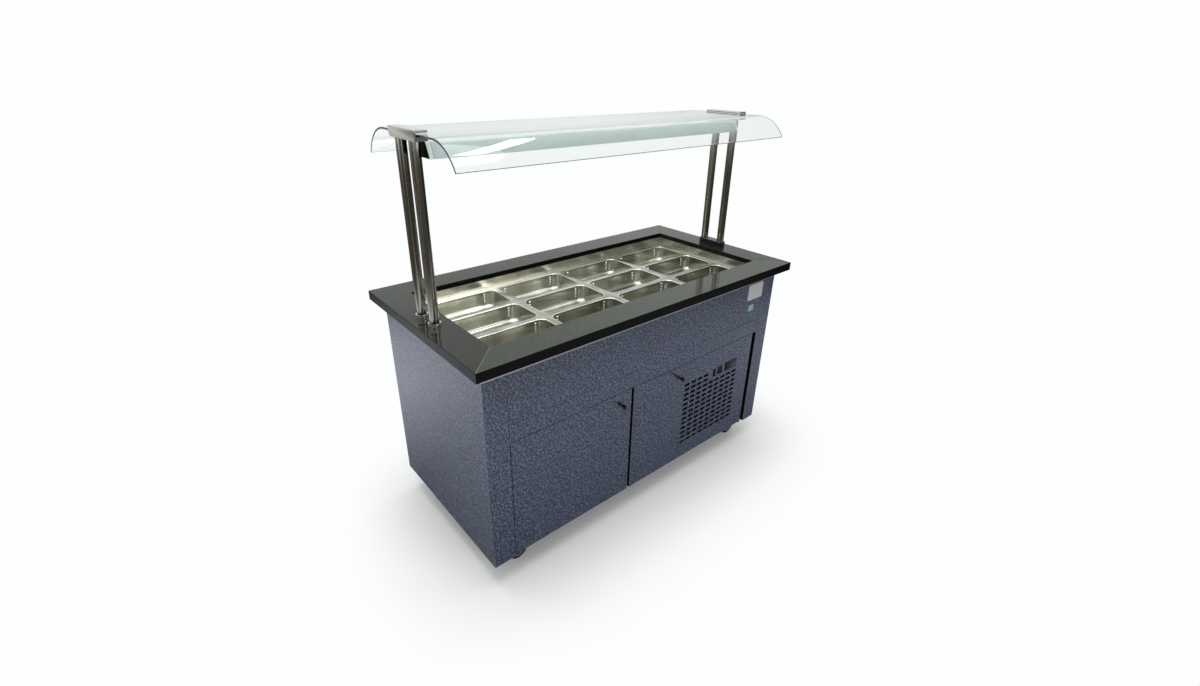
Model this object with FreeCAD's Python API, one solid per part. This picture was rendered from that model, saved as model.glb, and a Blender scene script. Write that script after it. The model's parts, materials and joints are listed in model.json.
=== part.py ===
"""Cold buffet counter: a chilled well of gastronorm pans in a stone top, on a
laminate cabinet with casters, under a lamp gantry with a curved glass canopy.

Millimetres. The origin is on the floor under the middle of the counter,
+X runs along its length, the doors face -Y and +Z is up.
"""
import FreeCAD, Part
import math
import os
from FreeCAD import Vector as V

# Pans: a third of a gastronorm module each, long side along the counter.
PAN_COLUMNS = 4
PAN_ROWS = 3
PAN_PITCH_X = 325.0
PAN_PITCH_Y = 176.7
PAN_SPACE = 1.6
PAN_FLANGE_X = 12.5
PAN_FLANGE_Y = 10.0
PAN_CORNER = 30.0
PAN_FLANGE_CORNER = 8.0
PAN_DEPTH = 65.0
PAN_DRAFT = 4.0
PAN_BOTTOM_BEND = 14.0
PAN_SHEET = 1.0

# Stone top: four mitred rails, thicker along the outside edge.
WORKTOP_HEIGHT = 900.0
STONE_RAIL = 115.0
STONE_THICKNESS = 20.0
STONE_EDGE_DEPTH = 34.0
STONE_EDGE_WIDTH = 22.0
STONE_ARRIS = 1.5

# Chilled well under the opening.
WELL_MARGIN_X = 10.0
WELL_MARGIN_Y = 12.5
LINER_SHEET = 1.5
PAN_DROP = 57.0
TUB_DEPTH = 100.0
TUB_CLEARANCE = 1.5
SUPPORT_BAR_WIDTH = 19.0
SUPPORT_BAR_DEPTH = 20.0
FOAM_ENDS = 25.0
FOAM_SIDES = 20.0
FOAM_FLOOR = 30.0
COIL_TUBE_R = 5.0
COIL_CLEARANCE = 0.2
COIL_PITCH = 50.0
COIL_RUNS = 9
COIL_END_GAP = 40.0
COIL_TAIL_X = 150.0
COIL_TAIL_DROP = 70.0
PIPE_BEND = 20.0
PIPE_HOLE_CLEARANCE = 3.0

# Cabinet.
OVERHANG_X = 39.0
OVERHANG_Y = 45.5
TRIM_DROP = 68.0
TRIM_SHEET = 2.0
PLATE_THICKNESS = 3.0
BOARD = 18.0
SEAM = 1.0
FASCIA_HEIGHT = 181.0
RAIL_HEIGHT = 66.0
LEFT_STILE = 83.0
RIGHT_STILE = 78.0
SKIRT = 7.0
TUBE = 30.0
TUBE_WALL = 2.0
DECK = 12.0
FIT = 0.5

# Doors and their locks.
DOOR_THICKNESS = 16.0
DOOR_SEAM = 2.0
DOOR_LIFT = 9.0
LEFT_DOOR_WIDTH = 531.0
DOOR_GAP = 12.0
RIGHT_GAP = 20.0
PIVOT_R = 3.0
PIVOT_CLEARANCE = 0.05
PIVOT_LENGTH = 14.0
PIVOT_BRACKET = 4.0
PIVOT_BRACKET_WIDTH = 18.0
PIVOT_BRACKET_LAP = 7.0
LOCK_DROP = 43.5
LEFT_LOCK_INSET = 59.5
RIGHT_LOCK_INSET = 245.0
LOCK_BARREL_R = 8.0
LOCK_BEZEL_R = 9.5
LOCK_BEZEL_PROUD = 2.0
LOCK_PLUG_R = 5.0
LOCK_TAIL = 4.0
CAM_GAP = 0.5
CAM_THICKNESS = 2.5
CAM_LENGTH = 58.0
CAM_WIDTH = 14.0
KEY_REACH = 36.0
KEY_BOW = 22.0
KEY_BOW_WIDTH = 16.0
KEY_THICKNESS = 4.0
KEY_SHANK = 7.0

# Slotted grille and controls in the right-hand door.
GRILLE_COLUMNS = 9
GRILLE_ROWS = 13
GRILLE_PITCH_X = 40.0
GRILLE_PITCH_Z = 23.7
SLOT_LENGTH = 32.0
SLOT_HEIGHT = 12.0
GRILLE_FROM_HINGE = 114.0
GRILLE_FROM_TOP = 105.0
GRILLE_SKIN = 2.0
GRILLE_BORDER = 11.0
CONTROL_ROWS = 2
SHORT_ROW_SLOTS = 4
CONTROL_BEZEL = 1.5
CONTROL_LIP = 1.5
CONTROL_BODY_FIT = 0.2
POWER_SWITCH = (258.0, 111.5, 16.0, 37.0)
LIGHT_SWITCH = (220.5, 110.5, 29.0, 37.0)
THERMOSTAT = (146.0, 108.5, 80.0, 41.0)
SWITCH_BODY_DEPTH = 30.0
THERMOSTAT_DEPTH = 45.0
ROCKER_WALL = 1.5
ROCKER_GAP = 0.4
ROCKER_TILT = 8.0
ROCKER_CAVITY = 15.0
ROCKER_AXIS_DEPTH = 5.0
ROCKER_BACK = 5.0
ROCKER_PIN_R = 1.2
ROCKER_PIN_CLEARANCE = 0.05
ROCKER_PIN_LENGTH = 1.0
ROCKER_END_GAP = 1.6

# Condensing unit behind the grille.
CONDENSER_WIDTH = 320.0
CONDENSER_HEIGHT = 300.0
CONDENSER_DEPTH = 50.0
CONDENSER_SETBACK = 72.0
CONDENSER_END_PLATE = 3.0
FAN_R = 120.0
FAN_HUB_R = 22.0
FAN_HUB_LENGTH = 20.0
FAN_BLADES = 5
FAN_BLADE_WIDTH = 50.0
FAN_BLADE_THICKNESS = 2.0
FAN_BLADE_ANGLE = 25.0
FAN_GAP = 20.0
FAN_SHAFT_R = 4.0
FAN_SHAFT_CLEARANCE = 0.05
MOTOR_R = 38.0
MOTOR_LENGTH = 70.0
MOTOR_GAP = 10.0
MOTOR_PEDESTAL = 40.0
COMPRESSOR_X = 60.0
COMPRESSOR_Y = 150.0
COMPRESSOR_R = 80.0
COMPRESSOR_HEIGHT = 150.0
COMPRESSOR_DOME = 40.0
COMPRESSOR_FOOT_BEND = 20.0
COMPRESSOR_BASE = (200.0, 180.0, 5.0)
PORT_SPREAD = 20.0
PIPE_INLET_INSET = 32.0
LINE_HEIGHT = 110.0

# Gantry: two pairs of tubes, end clamps, curved glass and lamp trough.
POST_X = 724.0
POST_SPREAD = 46.0
POST_R = 16.0
POST_WALL = 1.5
POST_PLUG = 10.0
POST_STUD_R = 6.0
POST_STUD_CLEARANCE = 0.5
POST_STUD_LENGTH = 18.0
POST_NUT_R = 10.0
POST_NUT_HEIGHT = 10.0
COLLAR_R = 20.5
COLLAR_HEIGHT = 15.0
COLLAR_CLEARANCE = 0.05
SHOE_WALL = 6.5
SHOE_HEIGHT = 24.0
SHOE_ROUND = 4.0
CLAMP_HEIGHT_OVER_TOP = 569.0
CLAMP_OUTSIDE = 17.0
CLAMP_WIDTH = 39.0
CLAMP_HALF_LENGTH = 89.0
CLAMP_LOWER = 11.7
CLAMP_UPPER = 4.0
CLAMP_BACK = 5.0
CLAMP_JAW_ROUND = 3.0
LEFT_GASKET = 8.0
RIGHT_GASKET = 4.0
CLAMP_REAR_ROUND = 16.0
GLASS_THICKNESS = 6.0
GLASS_PAD = 0.3
GLASS_BITE = 26.0
GLASS_FLAT = 164.0
GLASS_RADIUS = 138.0
GLASS_FRONT_SWEEP = 62.5
GLASS_BACK_SWEEP = 68.0
TROUGH_HEIGHT = 49.0
TROUGH_FRONT_TOP = -65.0
TROUGH_FRONT_BOTTOM = -86.0
TROUGH_BACK_TOP = 44.0
TROUGH_BACK_BOTTOM = 48.0
TROUGH_TAB_HALF = 20.0
TROUGH_TAB_REACH = 30.0
TROUGH_SHEET = 1.5
TROUGH_END_GAP = 6.5
LAMP_R = 13.0
LAMP_LENGTH = 1200.0
LAMP_SPREAD = 28.0
LAMP_DROP = 30.0
LAMP_HOLDER = 14.0
LAMP_HOLDER_HALF = 9.0

# Swivel casters.
CASTER_HEIGHT = 106.0
CASTER_X = 623.0
CASTER_Y = 266.0
CASTER_TRAIL = 23.0
CASTER_PLATE = (105.0, 86.0, 4.0)
GUSSET_THICKNESS = 4.0
GUSSET_BORDER = 8.0
WHEEL_R = 40.0
WHEEL_WIDTH = 26.0
WHEEL_HUB_R = 28.0
AXLE_R = 5.0
RUNNING_CLEARANCE = 0.05
FORK_DISC_R = 25.0
FORK_DISC = 8.0
FORK_DISC_GAP = 0.5
FORK_LEG = 3.0
FORK_SIDE_GAP = 2.0
FORK_LEG_TOP = 15.0
FORK_LEG_FOOT = 11.0
KINGPIN_R = 5.0
KINGPIN_HEAD_R = 8.0
KINGPIN_HEAD = 5.0

# Sizes that follow from the ones above.
OPEN_X = PAN_COLUMNS * PAN_PITCH_X + 2 * WELL_MARGIN_X
OPEN_Y = PAN_ROWS * PAN_PITCH_Y + 2 * WELL_MARGIN_Y
TOP_X = OPEN_X + 2 * STONE_RAIL
TOP_Y = OPEN_Y + 2 * STONE_RAIL
CAB_X = TOP_X / 2 - OVERHANG_X
CAB_Y = TOP_Y / 2 - OVERHANG_Y
INNER_X = CAB_X - BOARD
INNER_Y = CAB_Y - BOARD
STONE_UNDER = WORKTOP_HEIGHT - STONE_THICKNESS
PLATE_TOP = STONE_UNDER - LINER_SHEET
PLATE_UNDER = PLATE_TOP - PLATE_THICKNESS
TRIM_BOTTOM = WORKTOP_HEIGHT - TRIM_DROP
PAN_RIM = WORKTOP_HEIGHT - PAN_DROP
LEDGE = PAN_RIM - PAN_SHEET
TUB_X = PAN_COLUMNS * PAN_PITCH_X - 2 * PAN_FLANGE_X + 2 * (PAN_SHEET + TUB_CLEARANCE)
TUB_Y = PAN_ROWS * PAN_PITCH_Y - 2 * PAN_FLANGE_Y + 2 * (PAN_SHEET + TUB_CLEARANCE)
TUB_FLOOR = LEDGE - TUB_DEPTH
COIL_REACH = TUB_X / 2 - COIL_END_GAP
COIL_Z = TUB_FLOOR - LINER_SHEET - COIL_CLEARANCE - COIL_TUBE_R
FOAM_TOP_OF_FLOOR = COIL_Z - COIL_TUBE_R - COIL_CLEARANCE
FOAM_BOTTOM = FOAM_TOP_OF_FLOOR - FOAM_FLOOR
FOAM_X = OPEN_X / 2 + LINER_SHEET + FOAM_ENDS
FOAM_Y = OPEN_Y / 2 + LINER_SHEET + FOAM_SIDES
FRAME_BOTTOM = CASTER_HEIGHT + GUSSET_THICKNESS
FRAME_TOP = FRAME_BOTTOM + TUBE
PANEL_BOTTOM = FRAME_BOTTOM - SKIRT
DECK_TOP = FRAME_TOP + DECK
FASCIA_BOTTOM = TRIM_BOTTOM - FASCIA_HEIGHT
RAIL_TOP = FASCIA_BOTTOM - SEAM
RAIL_BOTTOM = RAIL_TOP - RAIL_HEIGHT
DOOR_TOP = RAIL_BOTTOM - DOOR_SEAM
DOOR_BOTTOM = PANEL_BOTTOM + DOOR_LIFT
DOOR_FRONT = -CAB_Y
DOOR_BACK = DOOR_FRONT + DOOR_THICKNESS
LEFT_DOOR_X = -CAB_X + LEFT_STILE + DOOR_SEAM
LEFT_DOOR_FREE = LEFT_DOOR_X + LEFT_DOOR_WIDTH
RIGHT_DOOR_FREE = LEFT_DOOR_FREE + DOOR_GAP
RIGHT_DOOR_X = CAB_X - RIGHT_STILE - RIGHT_GAP
MULLION_X = (LEFT_DOOR_FREE + RIGHT_DOOR_FREE) / 2
JAMB_X = RIGHT_DOOR_X + RIGHT_GAP / 2
PIVOT_Y = DOOR_FRONT + DOOR_THICKNESS / 2
LEFT_PIVOT_X = LEFT_DOOR_X + DOOR_THICKNESS / 2
RIGHT_PIVOT_X = RIGHT_DOOR_X - DOOR_THICKNESS / 2
LOCK_Z = DOOR_TOP - LOCK_DROP
GRILLE_RIGHT = RIGHT_DOOR_X - GRILLE_FROM_HINGE
GRILLE_LEFT = GRILLE_RIGHT - (GRILLE_COLUMNS - 1) * GRILLE_PITCH_X
GRILLE_TOP = DOOR_TOP - GRILLE_FROM_TOP
GRILLE_BOTTOM = GRILLE_TOP - (GRILLE_ROWS - 1) * GRILLE_PITCH_Z
GRILLE_MID = (GRILLE_LEFT + GRILLE_RIGHT) / 2
CLAMP_UNDER = WORKTOP_HEIGHT + CLAMP_HEIGHT_OVER_TOP
GLASS_UNDER = CLAMP_UNDER + CLAMP_LOWER + GLASS_PAD
GLASS_TOP = GLASS_UNDER + GLASS_THICKNESS
CLAMP_OUT_X = POST_X + CLAMP_OUTSIDE
CLAMP_IN_X = CLAMP_OUT_X - CLAMP_WIDTH
GLASS_HALF = CLAMP_IN_X + GLASS_BITE
TROUGH_HALF = POST_X - POST_R - TROUGH_END_GAP
TROUGH_BOTTOM = CLAMP_UNDER - TROUGH_HEIGHT
LAMP_MID = (TROUGH_FRONT_BOTTOM + TROUGH_BACK_BOTTOM) / 2
CONDENSER_FRONT = DOOR_BACK + CONDENSER_SETBACK
CONDENSER_REAR = CONDENSER_FRONT + CONDENSER_DEPTH
FAN_Z = DECK_TOP + CONDENSER_HEIGHT / 2
FAN_FRONT = CONDENSER_REAR + FAN_GAP
MOTOR_FRONT = FAN_FRONT + FAN_HUB_LENGTH + MOTOR_GAP


def box(low, high):
    """A block between two corners."""
    size = [b - a for a, b in zip(low, high)]
    return Part.makeBox(*size, V(*low))


def slab(half_x, half_y, low, high):
    """A block centred on the Z axis."""
    return box((-half_x, -half_y, low), (half_x, half_y, high))


def rod(centre, direction, radius, length):
    """A cylinder that starts at centre and runs along direction."""
    return Part.makeCylinder(radius, length, V(*centre), V(*direction))


def prism(points, direction):
    """A flat outline pushed along direction."""
    corners = [V(*p) for p in points]
    wire = Part.makePolygon(corners + corners[:1])
    return Part.Face(wire).extrude(V(*direction))


def rounded_rectangle(centre, size_x, size_y, radius, z):
    """A closed wire with round corners, level at height z."""
    cx, cy = centre
    edges = []
    spots = []
    for sx, sy, start in ((1, -1, 270), (1, 1, 0), (-1, 1, 90), (-1, -1, 180)):
        x = cx + sx * (size_x / 2 - radius)
        y = cy + sy * (size_y / 2 - radius)
        arc = Part.makeCircle(radius, V(x, y, z), V(0, 0, 1), start, start + 90)
        spots.append(arc)
    for here, after in zip(spots, spots[1:] + spots[:1]):
        edges.append(here)
        edges.append(Part.makeLine(here.valueAt(here.LastParameter), after.valueAt(after.FirstParameter)))
    return Part.Wire(edges)


def bent_tube(points, radius, bend):
    """A round bar along straight runs joined by arcs of one bend radius."""
    spots = [V(*p) for p in points]
    edges = []
    start = spots[0]
    for before, corner, after in zip(spots, spots[1:], spots[2:]):
        into = (corner - before).normalize()
        out = (after - corner).normalize()
        turn = into.getAngle(out)
        setback = bend * math.tan(turn / 2)
        first = corner - into * setback
        last = corner + out * setback
        inward = (out - into).normalize()
        middle = corner + inward * (bend / math.cos(turn / 2) - bend)
        edges.append(Part.LineSegment(start, first).toShape())
        edges.append(Part.Arc(first, middle, last).toShape())
        start = last
    edges.append(Part.LineSegment(start, spots[-1]).toShape())
    path = Part.Wire(edges)
    ring = Part.Wire(Part.makeCircle(radius, spots[0], spots[1] - spots[0]))
    return path.makePipeShell([ring], True, False)


def square_tube(low, high, axis):
    """A hollow square frame tube, open at its two ends."""
    inner_low = [v + (0 if k == axis else TUBE_WALL) for k, v in enumerate(low)]
    inner_high = [v - (0 if k == axis else TUBE_WALL) for k, v in enumerate(high)]
    return box(low, high).cut(box(inner_low, inner_high))


def base_frame():
    """Bottom ring, uprights and caster gussets of welded steel tube."""
    x, y = INNER_X, INNER_Y
    z0, z1 = FRAME_BOTTOM, FRAME_TOP
    pieces = []
    for side in (-1, 1):
        near, far = sorted((side * y, side * (y - TUBE)))
        pieces.append(square_tube((-x, near, z0), (x, far, z1), 0))
        near, far = sorted((side * x, side * (x - TUBE)))
        pieces.append(square_tube((near, TUBE - y, z0), (far, y - TUBE, z1), 1))
    pieces.append(square_tube((MULLION_X - TUBE / 2, TUBE - y, z0), (MULLION_X + TUBE / 2, y - TUBE, z1), 1))
    feet = [(sx * (x - TUBE / 2), sy * (y - TUBE / 2)) for sx in (-1, 1) for sy in (-1, 1)]
    feet += [(MULLION_X, TUBE / 2 - y), (JAMB_X, TUBE / 2 - y)]
    for fx, fy in feet:
        low = (fx - TUBE / 2, fy - TUBE / 2, z1)
        pieces.append(square_tube(low, (fx + TUBE / 2, fy + TUBE / 2, PLATE_UNDER), 2))
    for cx, cy in caster_places():
        half_x = CASTER_PLATE[0] / 2 + GUSSET_BORDER
        half_y = CASTER_PLATE[1] / 2
        low = (cx - half_x, cy - half_y, CASTER_HEIGHT)
        pieces.append(box(low, (cx + half_x, cy + half_y, FRAME_BOTTOM)))
    return pieces


def cabinet_boards():
    """Laminate boards: mitred ends and back, front stiles, fascia and rail."""
    height = (0, 0, TRIM_BOTTOM - PANEL_BOTTOM)
    z = PANEL_BOTTOM
    ends = {}
    for name, s in (("left_end_panel", -1), ("right_end_panel", 1)):
        outline = [(s * CAB_X, -CAB_Y, z), (s * CAB_X, CAB_Y, z), (s * INNER_X, INNER_Y, z), (s * INNER_X, -INNER_Y, z)]
        ends[name] = prism(outline, height)
    back = [(-CAB_X, CAB_Y, z), (CAB_X, CAB_Y, z), (INNER_X, INNER_Y, z), (-INNER_X, INNER_Y, z)]
    ends["back_panel"] = prism(back, height)
    front = []
    for s, width in ((-1, LEFT_STILE), (1, RIGHT_STILE)):
        edge = s * (CAB_X - width)
        outline = [(s * CAB_X, -CAB_Y, z), (edge, -CAB_Y, z), (edge, -INNER_Y, z), (s * INNER_X, -INNER_Y, z)]
        front.append(prism(outline, height))
    low_x = -CAB_X + LEFT_STILE + SEAM
    high_x = CAB_X - RIGHT_STILE - SEAM
    front.append(box((low_x, -CAB_Y, FASCIA_BOTTOM), (high_x, -INNER_Y, TRIM_BOTTOM)))
    rail = box((low_x, -CAB_Y, RAIL_BOTTOM), (high_x, -INNER_Y, RAIL_TOP))
    for pivot_x in (LEFT_PIVOT_X, RIGHT_PIVOT_X):
        rail = rail.cut(rod((pivot_x, PIVOT_Y, RAIL_BOTTOM), (0, 0, 1), PIVOT_R + PIVOT_CLEARANCE, PIVOT_LENGTH))
    front.append(rail)
    ends["front_boards"] = front
    return ends


def stud_holes():
    """Clearance holes for the gantry's four studs, through the whole top."""
    length = WORKTOP_HEIGHT - PLATE_UNDER
    radius = POST_STUD_R + POST_STUD_CLEARANCE
    return Part.makeCompound([rod((x, y, PLATE_UNDER), (0, 0, 1), radius, length) for x, y in post_places()])


def strips(outer_x, outer_y, inner_x, inner_y, low, high):
    """Four butted strips round a rectangular hole."""
    front = box((-outer_x, -outer_y, low), (outer_x, -inner_y, high))
    back = box((-outer_x, inner_y, low), (outer_x, outer_y, high))
    left = box((-outer_x, -inner_y, low), (-inner_x, inner_y, high))
    right = box((inner_x, -inner_y, low), (outer_x, inner_y, high))
    return [front, back, left, right]


def top_frame():
    """Stainless strips under the stone, welded to a band that hangs round the cabinet."""
    hole_x = OPEN_X / 2 + LINER_SHEET + FIT
    hole_y = OPEN_Y / 2 + LINER_SHEET + FIT
    plates = [plate.cut(stud_holes()) for plate in strips(CAB_X, CAB_Y, hole_x, hole_y, PLATE_UNDER, PLATE_TOP)]
    return plates + strips(CAB_X, CAB_Y, CAB_X - TRIM_SHEET, CAB_Y - TRIM_SHEET, TRIM_BOTTOM, PLATE_UNDER)


def stone_rails():
    """The stone ring with eased edges, sawn along its four mitres."""
    ring = slab(TOP_X / 2, TOP_Y / 2, WORKTOP_HEIGHT - STONE_EDGE_DEPTH, WORKTOP_HEIGHT)
    under_x = TOP_X / 2 - STONE_EDGE_WIDTH
    under_y = TOP_Y / 2 - STONE_EDGE_WIDTH
    ring = ring.cut(slab(under_x, under_y, WORKTOP_HEIGHT - STONE_EDGE_DEPTH, STONE_UNDER))
    ring = ring.cut(slab(OPEN_X / 2, OPEN_Y / 2, STONE_UNDER, WORKTOP_HEIGHT))
    arris = [e for e in ring.Edges if e.BoundBox.ZMin > WORKTOP_HEIGHT - STONE_ARRIS / 2]
    ring = ring.makeFillet(STONE_ARRIS, arris).cut(stud_holes())
    tall = (0, 0, STONE_EDGE_DEPTH)
    z = WORKTOP_HEIGHT - STONE_EDGE_DEPTH
    rails = {}
    for name, s in (("top_front", -1), ("top_back", 1)):
        wedge = [(-TOP_X / 2, s * TOP_Y / 2, z), (TOP_X / 2, s * TOP_Y / 2, z)]
        wedge += [(OPEN_X / 2, s * OPEN_Y / 2, z), (-OPEN_X / 2, s * OPEN_Y / 2, z)]
        rails[name] = ring.common(prism(wedge, tall))
    for name, s in (("top_left", -1), ("top_right", 1)):
        wedge = [(s * TOP_X / 2, -TOP_Y / 2, z), (s * TOP_X / 2, TOP_Y / 2, z)]
        wedge += [(s * OPEN_X / 2, OPEN_Y / 2, z), (s * OPEN_X / 2, -OPEN_Y / 2, z)]
        rails[name] = ring.common(prism(wedge, tall))
    return rails


def well_liner():
    """Stainless well of welded strips: a flange under the stone, walls, a ledge for the pans, and a tub."""
    open_x, open_y = OPEN_X / 2, OPEN_Y / 2
    tub_x, tub_y = TUB_X / 2, TUB_Y / 2
    flange = [strip.cut(stud_holes()) for strip in strips(CAB_X, CAB_Y, open_x, open_y, PLATE_TOP, STONE_UNDER)]
    walls = strips(open_x + LINER_SHEET, open_y + LINER_SHEET, open_x, open_y, LEDGE, PLATE_TOP)
    ledge = strips(open_x + LINER_SHEET, open_y + LINER_SHEET, tub_x, tub_y, LEDGE - LINER_SHEET, LEDGE)
    tub = strips(tub_x + LINER_SHEET, tub_y + LINER_SHEET, tub_x, tub_y, TUB_FLOOR, LEDGE - LINER_SHEET)
    floor = slab(tub_x + LINER_SHEET, tub_y + LINER_SHEET, TUB_FLOOR - LINER_SHEET, TUB_FLOOR)
    return flange + walls + ledge + tub + [floor]


def coil_path():
    """The refrigerant's way under the tub: down-tails at both ends of a serpentine."""
    first_y = -COIL_PITCH * (COIL_RUNS - 1) / 2
    tail_z = COIL_Z - COIL_TAIL_DROP
    points = [(COIL_TAIL_X, first_y, tail_z), (COIL_TAIL_X, first_y, COIL_Z)]
    side = -1
    for run in range(COIL_RUNS - 1):
        y = first_y + run * COIL_PITCH
        points += [(side * COIL_REACH, y, COIL_Z), (side * COIL_REACH, y + COIL_PITCH, COIL_Z)]
        side = -side
    points += [(COIL_TAIL_X, -first_y, COIL_Z), (COIL_TAIL_X, -first_y, tail_z)]
    return points


def well_insulation():
    """Foam boards round the well; the floor board has slots for the coil's tails."""
    step = LEDGE - LINER_SHEET
    upper = strips(FOAM_X, FOAM_Y, OPEN_X / 2 + LINER_SHEET, OPEN_Y / 2 + LINER_SHEET, step, PLATE_UNDER)
    lower = strips(FOAM_X, FOAM_Y, TUB_X / 2 + LINER_SHEET, TUB_Y / 2 + LINER_SHEET, FOAM_TOP_OF_FLOOR, step)
    floor = slab(FOAM_X, FOAM_Y, FOAM_BOTTOM, FOAM_TOP_OF_FLOOR)
    half_y = COIL_TUBE_R + PIPE_HOLE_CLEARANCE
    half_x = half_y + PIPE_BEND
    for x, y, _ in (coil_path()[0], coil_path()[-1]):
        floor = floor.cut(box((x - half_x, y - half_y, FOAM_BOTTOM), (x + half_x, y + half_y, FOAM_TOP_OF_FLOOR)))
    return upper + lower + [floor]


def pan_support_bars():
    """Bars across the tub under the joints between the columns of pans."""
    bars = []
    for column in range(1, PAN_COLUMNS):
        x = (column - PAN_COLUMNS / 2) * PAN_PITCH_X
        low = (x - SUPPORT_BAR_WIDTH / 2, -TUB_Y / 2, LEDGE - SUPPORT_BAR_DEPTH)
        bars.append(box(low, (x + SUPPORT_BAR_WIDTH / 2, TUB_Y / 2, LEDGE)))
    return bars


def pan_hollow(centre, grow):
    """A drafted pan body with a round bottom bend, grow larger all round."""
    mouth_x = PAN_PITCH_X - 2 * PAN_FLANGE_X
    mouth_y = PAN_PITCH_Y - 2 * PAN_FLANGE_Y
    steps = [(0.0, 0.0)]
    bend = PAN_BOTTOM_BEND
    for k in range(5):
        angle = math.radians(22.5 * k)
        depth = PAN_DEPTH - bend + (bend + grow) * math.sin(angle)
        steps.append((depth, PAN_DRAFT + (bend + grow) * (1 - math.cos(angle))))
    wires = []
    for depth, inset in steps:
        shrink = inset - grow
        size = (mouth_x - 2 * shrink, mouth_y - 2 * shrink)
        wires.append(rounded_rectangle(centre, *size, PAN_CORNER - shrink, PAN_RIM - depth))
    return Part.makeLoft(wires, True, True)


def pan(column, row):
    """One pressed pan with a flat flange."""
    centre = ((column - (PAN_COLUMNS - 1) / 2) * PAN_PITCH_X, (row - (PAN_ROWS - 1) / 2) * PAN_PITCH_Y)
    size = (PAN_PITCH_X - PAN_SPACE, PAN_PITCH_Y - PAN_SPACE)
    outline = rounded_rectangle(centre, *size, PAN_FLANGE_CORNER, LEDGE)
    flange = Part.Face(outline).extrude(V(0, 0, PAN_SHEET))
    return flange.fuse(pan_hollow(centre, PAN_SHEET)).cut(pan_hollow(centre, 0.0))


def door_blank(pivot_x, free_x):
    """A door board, round along its pivot edge, drilled for the two pivots."""
    low_x, high_x = sorted((pivot_x, free_x))
    board = box((low_x, DOOR_FRONT, DOOR_BOTTOM), (high_x, DOOR_BACK, DOOR_TOP))
    height = DOOR_TOP - DOOR_BOTTOM
    board = board.fuse(rod((pivot_x, PIVOT_Y, DOOR_BOTTOM), (0, 0, 1), DOOR_THICKNESS / 2, height)).removeSplitter()
    bore = PIVOT_R + PIVOT_CLEARANCE
    board = board.cut(rod((pivot_x, PIVOT_Y, DOOR_BOTTOM), (0, 0, 1), bore, PIVOT_LENGTH + DOOR_SEAM))
    return board.cut(rod((pivot_x, PIVOT_Y, DOOR_TOP), (0, 0, -1), bore, PIVOT_LENGTH + DOOR_SEAM))


def lock_places():
    return {"left": LEFT_DOOR_FREE - LEFT_LOCK_INSET, "right": RIGHT_DOOR_FREE + RIGHT_LOCK_INSET}


def lock_hole(x):
    return rod((x, DOOR_FRONT, LOCK_Z), (0, 1, 0), LOCK_BARREL_R, DOOR_THICKNESS)


def slot(x, z):
    """One stadium-shaped grille slot through the door's skin."""
    straight = SLOT_LENGTH - SLOT_HEIGHT
    low = (x - straight / 2, DOOR_FRONT, z - SLOT_HEIGHT / 2)
    shape = box(low, (x + straight / 2, DOOR_FRONT + GRILLE_SKIN, z + SLOT_HEIGHT / 2))
    for s in (-1, 1):
        end = rod((x + s * straight / 2, DOOR_FRONT, z), (0, 1, 0), SLOT_HEIGHT / 2, GRILLE_SKIN)
        shape = shape.fuse(end)
    return shape.removeSplitter()


def control_box(control, shrink, front, back):
    """A block behind a control's bezel, smaller than it by shrink all round."""
    from_hinge, from_top, width, height = control
    x = RIGHT_DOOR_X - from_hinge
    z = DOOR_TOP - from_top
    low = (x - width / 2 + shrink, front, z - height / 2 + shrink)
    return box(low, (x + width / 2 - shrink, back, z + height / 2 - shrink))


def right_door():
    """The access door: its back is pocketed thin behind the grille and controls."""
    door = door_blank(RIGHT_PIVOT_X, RIGHT_DOOR_FREE).cut(lock_hole(lock_places()["right"]))
    border_x = SLOT_LENGTH / 2 + GRILLE_BORDER
    border_z = SLOT_HEIGHT / 2 + GRILLE_BORDER
    low = (GRILLE_LEFT - border_x, DOOR_FRONT + GRILLE_SKIN, GRILLE_BOTTOM - border_z)
    door = door.cut(box(low, (GRILLE_RIGHT + border_x, DOOR_BACK, GRILLE_TOP + border_z)))
    slots = []
    for row in range(GRILLE_ROWS):
        count = SHORT_ROW_SLOTS if row < CONTROL_ROWS else GRILLE_COLUMNS
        for column in range(count):
            slots.append(slot(GRILLE_LEFT + column * GRILLE_PITCH_X, GRILLE_TOP - row * GRILLE_PITCH_Z))
    door = door.cut(Part.makeCompound(slots))
    for control in (POWER_SWITCH, LIGHT_SWITCH, THERMOSTAT):
        hole = control_box(control, CONTROL_LIP - CONTROL_BODY_FIT, DOOR_FRONT, DOOR_FRONT + GRILLE_SKIN)
        door = door.cut(hole)
    return door


def rocker_axis(control):
    """The middle of a rocker's pivot pins."""
    from_hinge, from_top = control[:2]
    return V(RIGHT_DOOR_X - from_hinge, DOOR_FRONT + ROCKER_AXIS_DEPTH, DOOR_TOP - from_top)


def switch_housing(control):
    """A switch body with a bezel, a hollow for the rocker and two pin holes."""
    face = DOOR_FRONT - CONTROL_BEZEL
    body = control_box(control, 0.0, face, DOOR_FRONT)
    body = body.fuse(control_box(control, CONTROL_LIP, DOOR_FRONT, DOOR_FRONT + SWITCH_BODY_DEPTH))
    body = body.cut(control_box(control, CONTROL_LIP + ROCKER_WALL, face, DOOR_FRONT + ROCKER_CAVITY))
    axis = rocker_axis(control)
    reach = control[2] / 2 - CONTROL_LIP
    bore = rod((axis.x - reach, axis.y, axis.z), (1, 0, 0), ROCKER_PIN_R + ROCKER_PIN_CLEARANCE, 2 * reach)
    return body.cut(bore)


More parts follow.
